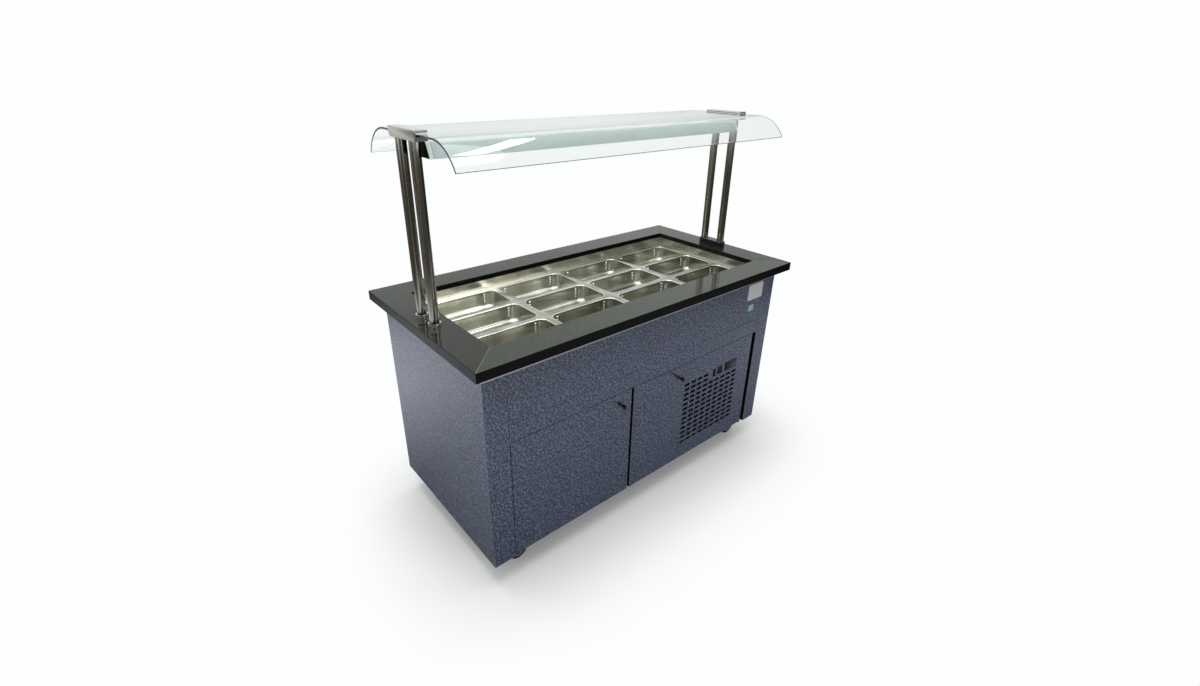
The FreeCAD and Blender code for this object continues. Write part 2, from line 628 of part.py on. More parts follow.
def rocker(control):
    """A switch's rocker, shown tipped to its off side."""
    axis = rocker_axis(control)
    half_x = control[2] / 2 - CONTROL_LIP - ROCKER_WALL - ROCKER_GAP
    half_z = control[3] / 2 - CONTROL_LIP - ROCKER_WALL - ROCKER_END_GAP
    face = -ROCKER_AXIS_DEPTH - CONTROL_BEZEL
    side = [(face - 1.5, half_z), (face + 1.0, 0.0), (face - 1.5, -half_z), (0.0, -half_z)]
    side += [(ROCKER_BACK, 0.0), (0.0, half_z)]
    start = axis.x - half_x
    outline = [(start, axis.y + y, axis.z + z) for y, z in side]
    body = prism(outline, (2 * half_x, 0, 0))
    pin_half = half_x + ROCKER_GAP + ROCKER_PIN_LENGTH
    body = body.fuse(rod((axis.x - pin_half, axis.y, axis.z), (1, 0, 0), ROCKER_PIN_R, 2 * pin_half))
    body.rotate(axis, V(1, 0, 0), -ROCKER_TILT)
    return body


def thermostat():
    """Digital controller: a bezel in front of the skin and its body behind."""
    body = control_box(THERMOSTAT, 0.0, DOOR_FRONT - CONTROL_BEZEL, DOOR_FRONT)
    return body.fuse(control_box(THERMOSTAT, CONTROL_LIP, DOOR_FRONT, DOOR_FRONT + THERMOSTAT_DEPTH))


def lock_barrel(x):
    """A cam lock's fixed barrel with a round bezel."""
    front = DOOR_FRONT - LOCK_BEZEL_PROUD
    barrel = rod((x, front, LOCK_Z), (0, 1, 0), LOCK_BEZEL_R, LOCK_BEZEL_PROUD)
    tail = DOOR_THICKNESS + LOCK_TAIL
    barrel = barrel.fuse(rod((x, DOOR_FRONT, LOCK_Z), (0, 1, 0), LOCK_BARREL_R, tail))
    bore = LOCK_PLUG_R + RUNNING_CLEARANCE
    return barrel.cut(rod((x, front, LOCK_Z), (0, 1, 0), bore, tail + LOCK_BEZEL_PROUD))


def lock_key(x):
    """The lock's plug with its key in front and its cam behind, level and unlatched."""
    front = DOOR_FRONT - LOCK_BEZEL_PROUD
    cam_face = DOOR_BACK + LOCK_TAIL + CAM_GAP
    plug = rod((x, front, LOCK_Z), (0, 1, 0), LOCK_PLUG_R, cam_face + CAM_THICKNESS - front)
    low = (x - CAM_LENGTH, cam_face, LOCK_Z - CAM_WIDTH / 2)
    cam = box(low, (x, cam_face + CAM_THICKNESS, LOCK_Z + CAM_WIDTH / 2))
    cam = cam.fuse(rod((x, cam_face, LOCK_Z), (0, 1, 0), CAM_WIDTH / 2, CAM_THICKNESS))
    tip = DOOR_FRONT - KEY_REACH
    bow = box((x - KEY_THICKNESS / 2, tip, LOCK_Z - KEY_BOW_WIDTH / 2),
              (x + KEY_THICKNESS / 2, tip + KEY_BOW, LOCK_Z + KEY_BOW_WIDTH / 2))
    corners = [e for e in bow.Edges if abs(e.Length - KEY_THICKNESS) < 1e-6]
    bow = bow.makeFillet(KEY_BOW_WIDTH / 3, corners)
    shank = box((x - KEY_THICKNESS / 2, tip + KEY_BOW / 2, LOCK_Z - KEY_SHANK / 2),
                (x + KEY_THICKNESS / 2, front, LOCK_Z + KEY_SHANK / 2))
    return plug.fuse(cam).fuse(bow.fuse(shank)).removeSplitter()


def door_pivots():
    """Bracket pins under both doors and plain pins in the rail above them."""
    pieces = []
    for x in (LEFT_PIVOT_X, RIGHT_PIVOT_X):
        low = (x - PIVOT_BRACKET_WIDTH / 2, PIVOT_Y - DOOR_THICKNESS / 2 + DOOR_SEAM, FRAME_BOTTOM - PIVOT_BRACKET)
        plate = box(low, (x + PIVOT_BRACKET_WIDTH / 2, -INNER_Y + PIVOT_BRACKET_LAP, FRAME_BOTTOM))
        length = DOOR_BOTTOM - FRAME_BOTTOM + PIVOT_LENGTH
        pieces.append(plate.fuse(rod((x, PIVOT_Y, FRAME_BOTTOM), (0, 0, 1), PIVOT_R, length)))
        low_end = DOOR_TOP - PIVOT_LENGTH
        pieces.append(rod((x, PIVOT_Y, low_end), (0, 0, 1), PIVOT_R, RAIL_BOTTOM + PIVOT_LENGTH - low_end))
    return pieces


def partition():
    """Board between the store and the machine bay, from the deck to the foam."""
    low = (MULLION_X - BOARD / 2, TUBE - INNER_Y, DECK_TOP)
    return box(low, (MULLION_X + BOARD / 2, INNER_Y, FOAM_BOTTOM))


def condenser():
    """Finned condenser standing behind the grille, between two end plates."""
    half = CONDENSER_WIDTH / 2
    inset = CONDENSER_END_PLATE
    core = box((GRILLE_MID - half + inset, CONDENSER_FRONT + inset, DECK_TOP),
               (GRILLE_MID + half - inset, CONDENSER_REAR - inset, DECK_TOP + CONDENSER_HEIGHT - inset))
    for s in (-1, 1):
        low_x, high_x = sorted((GRILLE_MID + s * half, GRILLE_MID + s * (half - inset)))
        plate = box((low_x, CONDENSER_FRONT, DECK_TOP), (high_x, CONDENSER_REAR, DECK_TOP + CONDENSER_HEIGHT))
        core = core.fuse(plate)
    return core


def fan_motor():
    """Fan motor on a pedestal, with its shaft reaching forward to the blades."""
    body = rod((GRILLE_MID, MOTOR_FRONT, FAN_Z), (0, 1, 0), MOTOR_R, MOTOR_LENGTH)
    half = MOTOR_PEDESTAL / 2
    middle = MOTOR_FRONT + MOTOR_LENGTH / 2
    body = body.fuse(box((GRILLE_MID - half, middle - half, DECK_TOP), (GRILLE_MID + half, middle + half, FAN_Z)))
    return body.fuse(rod((GRILLE_MID, FAN_FRONT, FAN_Z), (0, 1, 0), FAN_SHAFT_R, MOTOR_FRONT - FAN_FRONT))


def fan_blade():
    """Hub with tilted blades."""
    fan = rod((GRILLE_MID, FAN_FRONT, FAN_Z), (0, 1, 0), FAN_HUB_R, FAN_HUB_LENGTH)
    centre = V(GRILLE_MID, FAN_FRONT + FAN_HUB_LENGTH / 2, FAN_Z)
    for k in range(FAN_BLADES):
        half_t = FAN_BLADE_THICKNESS / 2
        low = (centre.x - FAN_BLADE_WIDTH / 2, centre.y - half_t, centre.z + FAN_HUB_R * 0.6)
        blade = box(low, (centre.x + FAN_BLADE_WIDTH / 2, centre.y + half_t, centre.z + FAN_R))
        blade.rotate(centre, V(0, 0, 1), FAN_BLADE_ANGLE)
        blade.rotate(centre, V(0, 1, 0), 360 * k / FAN_BLADES)
        fan = fan.fuse(blade)
    bore = FAN_SHAFT_R + FAN_SHAFT_CLEARANCE
    return fan.cut(rod((GRILLE_MID, FAN_FRONT, FAN_Z), (0, 1, 0), bore, FAN_HUB_LENGTH))


def compressor():
    """Hermetic compressor: a domed can on a foot plate."""
    half_x, half_y, thick = COMPRESSOR_BASE[0] / 2, COMPRESSOR_BASE[1] / 2, COMPRESSOR_BASE[2]
    x, y = COMPRESSOR_X, COMPRESSOR_Y
    plate = box((x - half_x, y - half_y, DECK_TOP), (x + half_x, y + half_y, DECK_TOP + thick))
    foot = DECK_TOP + thick
    can = rod((x, y, foot), (0, 0, 1), COMPRESSOR_R, COMPRESSOR_HEIGHT)
    middle = foot + COMPRESSOR_HEIGHT / 2
    upper = [e for e in can.Edges if e.BoundBox.ZMin > middle]
    can = can.makeFillet(COMPRESSOR_DOME, upper)
    lower = [e for e in can.Edges if e.BoundBox.ZMax < foot + 1e-6]
    return [plate, can.makeFillet(COMPRESSOR_FOOT_BEND, lower)]


def refrigerant_pipes():
    """Discharge, liquid and suction lines between compressor, condenser and coil."""
    top = DECK_TOP + COMPRESSOR_BASE[2] + COMPRESSOR_HEIGHT
    hot_x = COMPRESSOR_X + PORT_SPREAD
    cold_x = COMPRESSOR_X - PORT_SPREAD
    y = COMPRESSOR_Y
    side_x = GRILLE_MID - CONDENSER_WIDTH / 2
    side_y = (CONDENSER_FRONT + CONDENSER_REAR) / 2
    inlet = DECK_TOP + CONDENSER_HEIGHT - PIPE_INLET_INSET
    outlet = DECK_TOP + PIPE_INLET_INSET
    feed, back = coil_path()[0], coil_path()[-1]
    line_z = feed[2] - LINE_HEIGHT
    discharge = [(hot_x, y, top), (hot_x, y, inlet), (hot_x, side_y, inlet), (side_x, side_y, inlet)]
    liquid = [(side_x, side_y, outlet), (feed[0], side_y, outlet), (feed[0], side_y, line_z)]
    liquid += [(feed[0], feed[1], line_z), feed]
    suction = [back, (back[0], back[1], line_z), (cold_x, back[1], line_z), (cold_x, y, line_z), (cold_x, y, top)]
    return [bent_tube(route, COIL_TUBE_R, PIPE_BEND) for route in (discharge, liquid, suction)]


def post_places():
    return [(sx * POST_X, sy * POST_SPREAD) for sx in (-1, 1) for sy in (-1, 1)]


def gantry_posts():
    """Four tubes, each with a plugged foot, a stud through the top and a nut."""
    posts = []
    for x, y in post_places():
        post = rod((x, y, WORKTOP_HEIGHT), (0, 0, 1), POST_R, CLAMP_HEIGHT_OVER_TOP)
        hollow = CLAMP_HEIGHT_OVER_TOP - POST_PLUG
        post = post.cut(rod((x, y, WORKTOP_HEIGHT + POST_PLUG), (0, 0, 1), POST_R - POST_WALL, hollow))
        low = PLATE_UNDER - POST_STUD_LENGTH
        post = post.fuse(rod((x, y, low), (0, 0, 1), POST_STUD_R, WORKTOP_HEIGHT - low))
        posts.append(post.fuse(rod((x, y, PLATE_UNDER), (0, 0, -1), POST_NUT_R, POST_NUT_HEIGHT)))
    return posts


def left_post_collars():
    """Chrome collars that cover the left-hand pair's feet."""
    collars = []
    for y in (-POST_SPREAD, POST_SPREAD):
        foot = (-POST_X, y, WORKTOP_HEIGHT)
        collar = rod(foot, (0, 0, 1), COLLAR_R, COLLAR_HEIGHT)
        collars.append(collar.cut(rod(foot, (0, 0, 1), POST_R + COLLAR_CLEARANCE, COLLAR_HEIGHT)))
    return collars


def right_post_shoe():
    """One oblong block that covers both feet of the right-hand pair."""
    radius = POST_R + SHOE_WALL
    x, y, z = POST_X, POST_SPREAD, WORKTOP_HEIGHT
    shoe = box((x - radius, -y, z), (x + radius, y, z + SHOE_HEIGHT))
    for s in (-1, 1):
        shoe = shoe.fuse(rod((x, s * y, z), (0, 0, 1), radius, SHOE_HEIGHT))
    shoe = shoe.removeSplitter()
    rim = [e for e in shoe.Edges if e.BoundBox.ZMin > z + SHOE_HEIGHT / 2]
    shoe = shoe.makeFillet(SHOE_ROUND, rim)
    for s in (-1, 1):
        shoe = shoe.cut(rod((x, s * y, z), (0, 0, 1), POST_R + COLLAR_CLEARANCE, SHOE_HEIGHT))
    return shoe


def glass_clamp(s):
    """A C-shaped clamp on a pair of posts, open inwards for the glass and its gasket."""
    half = CLAMP_HALF_LENGTH
    slot_top = GLASS_TOP + (LEFT_GASKET if s < 0 else RIGHT_GASKET)
    low_x, high_x = sorted((s * CLAMP_IN_X, s * CLAMP_OUT_X))
    body = box((low_x, -half, CLAMP_UNDER), (high_x, half, slot_top + CLAMP_UPPER))
    jaw = [e for e in body.Edges if e.BoundBox.ZMax < CLAMP_UNDER + 1 and e.BoundBox.YLength > half]
    jaw = [e for e in jaw if abs(e.BoundBox.Center.x - s * CLAMP_IN_X) < 1]
    body = body.makeFillet(CLAMP_JAW_ROUND, jaw)
    groove_x = sorted((s * CLAMP_IN_X, s * (CLAMP_OUT_X - CLAMP_BACK)))
    low = (groove_x[0], -half, GLASS_UNDER - GLASS_PAD)
    body = body.cut(box(low, (groove_x[1], half, slot_top)))
    gasket = box((groove_x[0], -half, GLASS_TOP), (groove_x[1], half, slot_top))
    r = CLAMP_REAR_ROUND
    corner = box((low_x, half - r, CLAMP_UNDER), (high_x, half, CLAMP_UNDER + r))
    corner = corner.cut(rod((low_x, half - r, CLAMP_UNDER + r), (1, 0, 0), r, high_x - low_x))
    return [body.cut(corner), gasket]


def glass_canopy():
    """One sheet of glass, flat in the middle and curved down along both sides."""
    sweeps = {-1: math.radians(GLASS_FRONT_SWEEP), 1: math.radians(GLASS_BACK_SWEEP)}
    centre_z = GLASS_TOP - GLASS_RADIUS

    def on_arc(side, angle, radius):
        return V(-GLASS_HALF, side * (GLASS_FLAT + radius * math.sin(angle)), centre_z + radius * math.cos(angle))

    edges = []
    outer, inner = GLASS_RADIUS, GLASS_RADIUS - GLASS_THICKNESS
    for radius in (outer, inner):
        edges.append(Part.makeLine(on_arc(-1, 0, radius), on_arc(1, 0, radius)))
        for side in (-1, 1):
            spots = [on_arc(side, share * sweeps[side], radius) for share in (0, 0.5, 1)]
            edges.append(Part.Arc(*spots).toShape())
    for side in (-1, 1):
        edges.append(Part.makeLine(on_arc(side, sweeps[side], outer), on_arc(side, sweeps[side], inner)))
    outline = Part.Wire(Part.__sortEdges__(edges))
    return Part.Face(outline).extrude(V(2 * GLASS_HALF, 0, 0))


def lamp_trough():
    """Folded lamp housing, open below, that hangs from the clamps by two tabs of its roof."""
    def body(inset, floor):
        x = -TROUGH_HALF + inset
        high = CLAMP_UNDER - inset
        outline = [(x, TROUGH_FRONT_TOP + inset, high), (x, TROUGH_BACK_TOP - inset, high)]
        outline += [(x, TROUGH_BACK_BOTTOM - inset, floor), (x, TROUGH_FRONT_BOTTOM + inset, floor)]
        return prism(outline, (-2 * x, 0, 0))
    tabs = slab(TROUGH_HALF + TROUGH_TAB_REACH, TROUGH_TAB_HALF, CLAMP_UNDER - TROUGH_SHEET, CLAMP_UNDER)
    return body(0.0, TROUGH_BOTTOM).fuse(tabs).removeSplitter().cut(body(TROUGH_SHEET, TROUGH_BOTTOM))


def lamp_tubes():
    """Two tube lamps, each between a pair of holders under the trough's roof."""
    roof = CLAMP_UNDER - TROUGH_SHEET
    axis_z = CLAMP_UNDER - LAMP_DROP
    lamps = []
    for y in (LAMP_MID - LAMP_SPREAD, LAMP_MID + LAMP_SPREAD):
        lamp = rod((-LAMP_LENGTH / 2, y, axis_z), (1, 0, 0), LAMP_R, LAMP_LENGTH)
        for s in (-1, 1):
            low_x, high_x = sorted((s * LAMP_LENGTH / 2, s * (LAMP_LENGTH / 2 + LAMP_HOLDER)))
            low = (low_x, y - LAMP_HOLDER_HALF, axis_z - LAMP_HOLDER_HALF)
            lamp = lamp.fuse(box(low, (high_x, y + LAMP_HOLDER_HALF, roof)))
        lamps.append(lamp)
    return lamps


def caster_places():
    return [(sx * CASTER_X, sy * CASTER_Y) for sy in (-1, 1) for sx in (-1, 1)]


def caster_plates():
    """Four top plates with their kingpins."""
    plates = []
    for x, y in caster_places():
        half_x, half_y, thick = CASTER_PLATE[0] / 2, CASTER_PLATE[1] / 2, CASTER_PLATE[2]
        under = CASTER_HEIGHT - thick
        plate = box((x - half_x, y - half_y, under), (x + half_x, y + half_y, CASTER_HEIGHT))
        head = under - 2 * FORK_DISC_GAP - FORK_DISC
        plate = plate.fuse(rod((x, y, under), (0, 0, -1), KINGPIN_R, under - head))
        plates.append(plate.fuse(rod((x, y, head), (0, 0, -1), KINGPIN_HEAD_R, KINGPIN_HEAD)))
    return plates


def caster_fork(x, y):
    """A swivel fork: a disc round the kingpin, two legs and the axle."""
    disc_top = CASTER_HEIGHT - CASTER_PLATE[2] - FORK_DISC_GAP
    disc_under = disc_top - FORK_DISC
    fork = rod((x, y, disc_under), (0, 0, 1), FORK_DISC_R, FORK_DISC)
    axle_x = x + CASTER_TRAIL
    inside = WHEEL_WIDTH / 2 + FORK_SIDE_GAP
    for s in (-1, 1):
        near = y + (inside if s > 0 else -inside - FORK_LEG)
        outline = [(x - FORK_LEG_TOP, near, disc_under), (x + FORK_LEG_TOP, near, disc_under)]
        outline += [(axle_x + FORK_LEG_FOOT, near, WHEEL_R), (axle_x - FORK_LEG_FOOT, near, WHEEL_R)]
        leg = prism(outline, (0, FORK_LEG, 0))
        fork = fork.fuse(leg.fuse(rod((axle_x, near, WHEEL_R), (0, 1, 0), FORK_LEG_FOOT, FORK_LEG)))
    reach = inside + FORK_LEG
    fork = fork.fuse(rod((axle_x, y - reach, WHEEL_R), (0, 1, 0), AXLE_R, 2 * reach))
    return fork.cut(rod((x, y, disc_under), (0, 0, 1), KINGPIN_R + RUNNING_CLEARANCE, FORK_DISC))


def caster_wheel(x, y):
    """A wheel: a tyre moulded round a hub."""
    start = (x + CASTER_TRAIL, y - WHEEL_WIDTH / 2, WHEEL_R)
    tyre = rod(start, (0, 1, 0), WHEEL_R, WHEEL_WIDTH)
    hub = rod(start, (0, 1, 0), WHEEL_HUB_R, WHEEL_WIDTH)
    bore = rod(start, (0, 1, 0), AXLE_R + RUNNING_CLEARANCE, WHEEL_WIDTH)
    return [tyre.cut(hub), hub.cut(bore)]


def build():
    """Every piece by the name of its node."""
    nodes = {"base_frame": base_frame()}
    nodes["base_deck"] = slab(INNER_X, INNER_Y - TUBE - FIT, FRAME_TOP, DECK_TOP)
    nodes.update(cabinet_boards())
    nodes["partition"] = partition()
    nodes["top_frame"] = top_frame()
    nodes.update(stone_rails())
    nodes["well_liner"] = well_liner()
    nodes["well_insulation"] = well_insulation()
    nodes["evaporator_coil"] = bent_tube(coil_path(), COIL_TUBE_R, PIPE_BEND)
    nodes["pan_support_bars"] = pan_support_bars()
    for column in range(PAN_COLUMNS):
        for row in range(PAN_ROWS):
            nodes[f"pan_{column + 1}_{row + 1}"] = pan(column, row)
    locks = lock_places()
    nodes["left_door"] = door_blank(LEFT_PIVOT_X, LEFT_DOOR_FREE).cut(lock_hole(locks["left"]))
    nodes["right_door"] = right_door()
    nodes["door_pivots"] = door_pivots()
    for side, x in locks.items():
        nodes[f"{side}_lock"] = lock_barrel(x)
        nodes[f"{side}_key"] = lock_key(x)
    nodes["control_housings"] = [thermostat(), switch_housing(POWER_SWITCH), switch_housing(LIGHT_SWITCH)]
    nodes["power_rocker"] = rocker(POWER_SWITCH)
    nodes["light_rocker"] = rocker(LIGHT_SWITCH)
    nodes["compressor"] = compressor()
    nodes["condenser"] = condenser()
    nodes["fan_motor"] = fan_motor()
    nodes["fan_blade"] = fan_blade()
    nodes["refrigerant_pipes"] = refrigerant_pipes()
    nodes["gantry_posts"] = gantry_posts()
    nodes["left_post_collars"] = left_post_collars()
    nodes["right_post_shoe"] = right_post_shoe()
    nodes["left_glass_clamp"] = glass_clamp(-1)
    nodes["right_glass_clamp"] = glass_clamp(1)
    nodes["glass_canopy"] = glass_canopy()
    nodes["lamp_trough"] = lamp_trough()
    nodes["lamp_tubes"] = lamp_tubes()
    nodes["caster_plates"] = caster_plates()
    for corner, place in zip(("front_left", "front_right", "back_left", "back_right"), caster_places()):
        nodes[f"{corner}_fork"] = caster_fork(*place)
        nodes[f"{corner}_wheel"] = caster_wheel(*place)
    return nodes


os.makedirs("parts", exist_ok=True)
for node, shape in build().items():
    if isinstance(shape, list):
        shape = Part.makeCompound(shape)
    shape.exportStep(f"parts/{node}.step")
    print(node, len(shape.Solids), "solids", "valid" if shape.isValid() else "NOT VALID", round(shape.Volume))
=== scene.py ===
import json
import math

import bpy
from mathutils import Matrix, Vector

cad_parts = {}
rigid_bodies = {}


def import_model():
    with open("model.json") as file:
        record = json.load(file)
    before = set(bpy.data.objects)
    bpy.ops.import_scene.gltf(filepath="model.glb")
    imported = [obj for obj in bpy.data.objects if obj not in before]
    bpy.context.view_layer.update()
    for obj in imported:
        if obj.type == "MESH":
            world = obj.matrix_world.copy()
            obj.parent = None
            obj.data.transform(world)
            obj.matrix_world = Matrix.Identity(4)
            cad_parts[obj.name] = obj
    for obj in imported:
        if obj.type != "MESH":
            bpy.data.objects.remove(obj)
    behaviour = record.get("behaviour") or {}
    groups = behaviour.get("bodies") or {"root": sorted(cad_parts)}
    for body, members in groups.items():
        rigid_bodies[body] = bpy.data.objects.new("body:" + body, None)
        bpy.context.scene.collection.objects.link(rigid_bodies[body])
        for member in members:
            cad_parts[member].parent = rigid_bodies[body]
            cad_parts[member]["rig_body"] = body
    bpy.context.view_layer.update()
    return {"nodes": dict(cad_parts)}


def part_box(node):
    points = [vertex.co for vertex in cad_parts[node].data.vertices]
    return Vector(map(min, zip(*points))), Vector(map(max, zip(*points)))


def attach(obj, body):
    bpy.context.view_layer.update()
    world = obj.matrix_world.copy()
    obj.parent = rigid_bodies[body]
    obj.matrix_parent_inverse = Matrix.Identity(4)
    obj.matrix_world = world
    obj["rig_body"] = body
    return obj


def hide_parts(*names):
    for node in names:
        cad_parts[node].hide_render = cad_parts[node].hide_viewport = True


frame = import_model()


# Base frame: square steel tube welded into a ring with uprights, powder coated
# black. It hides inside the cabinet and shows only in the gaps beside the doors,
# which turn on pins of the same finish.
PEEL = 0.010 / 7


def linear(code):
    """An sRGB hex colour as linear RGBA."""
    parts = [int(code[i:i + 2], 16) / 255 for i in (1, 3, 5)]
    return [c / 12.92 if c <= 0.04045 else ((c + 0.055) / 1.055) ** 2.4 for c in parts] + [1.0]


def node(owner, kind, settings=(), links=(), feeds=()):
    """Adds a shader node.

    Settings are properties or sockets. Links come from another node's output, or from
    the texture coordinate that is named. Feeds go on to the surface shader.
    """
    tree = owner.node_tree
    made = tree.nodes.new(kind)
    for key, value in dict(settings).items():
        if key == "stops":
            ramp = made.color_ramp.elements
            while len(ramp) < len(value):
                ramp.new(1.0)
            for stop, (position, code) in zip(ramp, value):
                stop.position, stop.color = position, linear(code)
        elif isinstance(key, str) and hasattr(made, key):
            setattr(made, key, value)
        else:
            made.inputs[key].default_value = value
    for key, link in dict(links).items():
        if isinstance(link, str):
            place = tree.nodes.get("place") or tree.nodes.new("ShaderNodeTexCoord")
            place.name = "place"
            link = (place, link)
        source, output = link
        tree.links.new(source.outputs[output], made.inputs[key])
    for key, output in dict(feeds).items():
        tree.links.new(made.outputs[output], tree.nodes["Principled BSDF"].inputs[key])
    return made


def material(name, sockets):
    """A new material with these values on its surface shader."""
    made = bpy.data.materials.new(name)
    made.use_nodes = True
    surface = made.node_tree.nodes["Principled BSDF"]
    for key, value in sockets.items():
        surface.inputs[key].default_value = value
    return made


def coat(piece, *finishes):
    """Gives a piece, or a CAD node named, its materials."""
    piece = frame["nodes"][piece] if isinstance(piece, str) else piece
    piece.data.materials.clear()
    for finish in finishes:
        piece.data.materials.append(finish)


# Powder coat: a fine orange-peel skin, seven dimples to 10 mm, so highlights break up
# softly. Here and below a pattern's scale is one over its real size in metres.
powder_coat = material("powder_coated_steel",
                       {"Base Color": linear("#17181a"), "Roughness": 0.45})
peel = node(powder_coat, "ShaderNodeTexNoise", {"Scale": 1 / PEEL, "Detail": 2.0},
            {"Vector": "Object"})
node(powder_coat, "ShaderNodeBump", {"Strength": 0.25, "Distance": 0.0003},
     {"Height": (peel, "Fac")}, {"Normal": "Normal"})
coat("base_frame", powder_coat)
coat("door_pivots", powder_coat)


# Casters: four swivel casters with zinc-plated plates and pressed forks, each
# with a black rubber tyre moulded on a grey plastic hub. Bolted under the frame.
FORK_EDGE = 0.0005
SPANGLE = 0.025 / 3
DUST = 0.1 / 9
FLOW = 0.05 / 3
TREAD_ROUND = 0.006
TYRE_DEPTH = 0.0105
HUB_CENTRE = 0.0005
# Each step of the hub: how far in from the last one, and how far out.
HUB_STEPS = ((0.004, 0.0), (0.0008, -0.0012), (0.003, 0.0), (0.002, -0.003), (0.008, 0.0),
             (0.0015, 0.003), (0.0008, 0.0005))
# Points this close are one, and a face with this much of an axis is square to it.
MERGE = 0.00001
SQUARE = 0.9


def pick(piece, kind, test):
    """Leaves a piece in edit mode with only the points, edges or faces that pass selected."""
    bpy.ops.object.mode_set(mode="EDIT")
    bpy.ops.mesh.select_mode(type=kind)
    bpy.ops.mesh.select_all(action="DESELECT")
    bpy.ops.object.mode_set(mode="OBJECT")
    mesh = piece.data
    points = [point.co for point in mesh.vertices]
    if kind == "VERT":
        for point in mesh.vertices:
            point.select = test(point.co)
    elif kind == "EDGE":
        for edge in mesh.edges:
            edge.select = test(points[edge.vertices[0]], points[edge.vertices[1]])
    else:
        for face in mesh.polygons:
            face.select = test(face.center, face.normal)
    bpy.ops.object.mode_set(mode="EDIT")


def modify(piece, name, kind, **settings):
    """Adds a modifier with these settings and applies it."""
    made = piece.modifiers.new(name, kind)
    for key, value in settings.items():
        setattr(made, key, value)
    bpy.ops.object.modifier_apply(modifier=made.name)


def settle(piece, name, body, angle=35):
    """Ends a piece's modelling: its place in its mesh, smooth faces, and the body it rides."""
    bpy.ops.object.mode_set(mode="OBJECT")
    bpy.ops.object.transform_apply(location=True, rotation=True, scale=True)
    bpy.ops.object.shade_smooth_by_angle(angle=math.radians(angle))
    piece.name = piece.data.name = name
    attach(piece, body)


def copied(name, mesh):
    """A new object with its own copy of a mesh, alone selected."""
    bpy.ops.object.select_all(action="DESELECT")
    piece = bpy.data.objects.new(name, mesh.copy())
    bpy.context.scene.collection.objects.link(piece)
    bpy.context.view_layer.objects.active = piece
    piece.select_set(True)
    return piece


def eased(name, width=0.0, angle=40):
    """A copy of a CAD node with its triangles merged and its sharp edges eased by width."""
    source = frame["nodes"][name]
    piece = copied(name + ".eased", source.data)
    if piece.data.has_custom_normals:
        bpy.ops.mesh.customdata_custom_splitnormals_clear()
    bpy.ops.object.mode_set(mode="EDIT")
    bpy.ops.mesh.select_all(action="SELECT")
    bpy.ops.mesh.remove_doubles(threshold=MERGE)
    bpy.ops.mesh.dissolve_limited(angle_limit=math.radians(0.4))
    bpy.ops.object.mode_set(mode="OBJECT")
    if width:
        modify(piece, "eased_edges", "BEVEL", width=width, segments=2,
               limit_method="ANGLE", angle_limit=math.radians(angle))
    settle(piece, name + ".eased", source["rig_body"], angle)
    modify(piece, "flat_faces_stay_flat", "WEIGHTED_NORMAL", keep_sharp=True)
    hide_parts(name)
    return piece


# Zinc plate: bright grey with faint cloudy spangle.
zinc = material("zinc_plated_steel", {"Metallic": 1.0, "Roughness": 0.35})
cloud = node(zinc, "ShaderNodeTexNoise", {"Scale": 1 / SPANGLE, "Detail": 3.0},
             {"Vector": "Object"})
node(zinc, "ShaderNodeValToRGB", {"stops": [(0.3, "#8d9193"), (0.7, "#b9bcbc")]},
     {"Fac": (cloud, "Fac")}, {"Base Color": "Color"})
# Moulded rubber: nearly black and matt, dusty on the tread.
rubber = material("moulded_rubber", {"Roughness": 0.75, "Specular IOR Level": 0.3})
dust = node(rubber, "ShaderNodeTexNoise", {"Scale": 1 / DUST, "Detail": 4.0},
            {"Vector": "Object"})
node(rubber, "ShaderNodeValToRGB", {"stops": [(0.35, "#121212"), (0.75, "#2a2927")]},
     {"Fac": (dust, "Fac")}, {"Base Color": "Color"})
# Moulded nylon of the hub: even grey with a slight sheen.
nylon = material("moulded_nylon", {"Roughness": 0.5})
flow = node(nylon, "ShaderNodeTexNoise", {"Scale": 1 / FLOW}, {"Vector": "Object"})
node(nylon, "ShaderNodeValToRGB", {"stops": [(0.3, "#6d6f70"), (0.7, "#7f8182")]},
     {"Fac": (flow, "Fac")}, {"Base Color": "Color"})

coat("caster_plates", zinc)
low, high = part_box("front_left_wheel")
first_hub = (low + high) / 2
tyre_radius, tyre_width = (high.z - low.z) / 2, high.y - low.y


def from_axle(point):
    """How far a point of the first wheel lies from its axle."""
    return Vector((point.x - first_hub.x, point.z - first_hub.z)).length


bpy.ops.object.select_all(action="DESELECT")
bpy.ops.mesh.primitive_cylinder_add(vertices=72, radius=tyre_radius, depth=tyre_width,
                                    location=first_hub, rotation=(math.pi / 2, 0, 0))
wheel = bpy.context.object
bpy.ops.object.transform_apply(location=True, rotation=True, scale=True)
# The tread's shoulders are round.
pick(wheel, "FACE", lambda c, n: abs(n.y) > SQUARE)
bpy.ops.mesh.bevel(offset=TREAD_ROUND, segments=5, affect="EDGES")
# Each side steps in to the hub, dishes, and rises again to the boss at the axle.
for thickness, depth in HUB_STEPS:
    pick(wheel, "FACE", lambda c, n: abs(n.y) > SQUARE and from_axle(c) < HUB_CENTRE)
    bpy.ops.mesh.inset(thickness=thickness, depth=depth, use_individual=True)
bpy.ops.object.mode_set(mode="OBJECT")
coat(wheel, rubber, nylon)
for face in wheel.data.polygons:
    face.material_index = 0 if from_axle(face.center) > tyre_radius - TYRE_DEPTH else 1
first_wheel = wheel.data.copy()
bpy.data.objects.remove(wheel)
for corner in ("front_left", "front_right", "back_left", "back_right"):
    coat(eased(corner + "_fork", FORK_EDGE), zinc)
    low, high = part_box(corner + "_wheel")
    wheel = copied(corner + "_wheel.tyre", first_wheel)
    wheel.location = (low + high) / 2 - first_hub
    settle(wheel, corner + "_wheel.tyre", corner + "_wheel")
    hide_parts(corner + "_wheel")


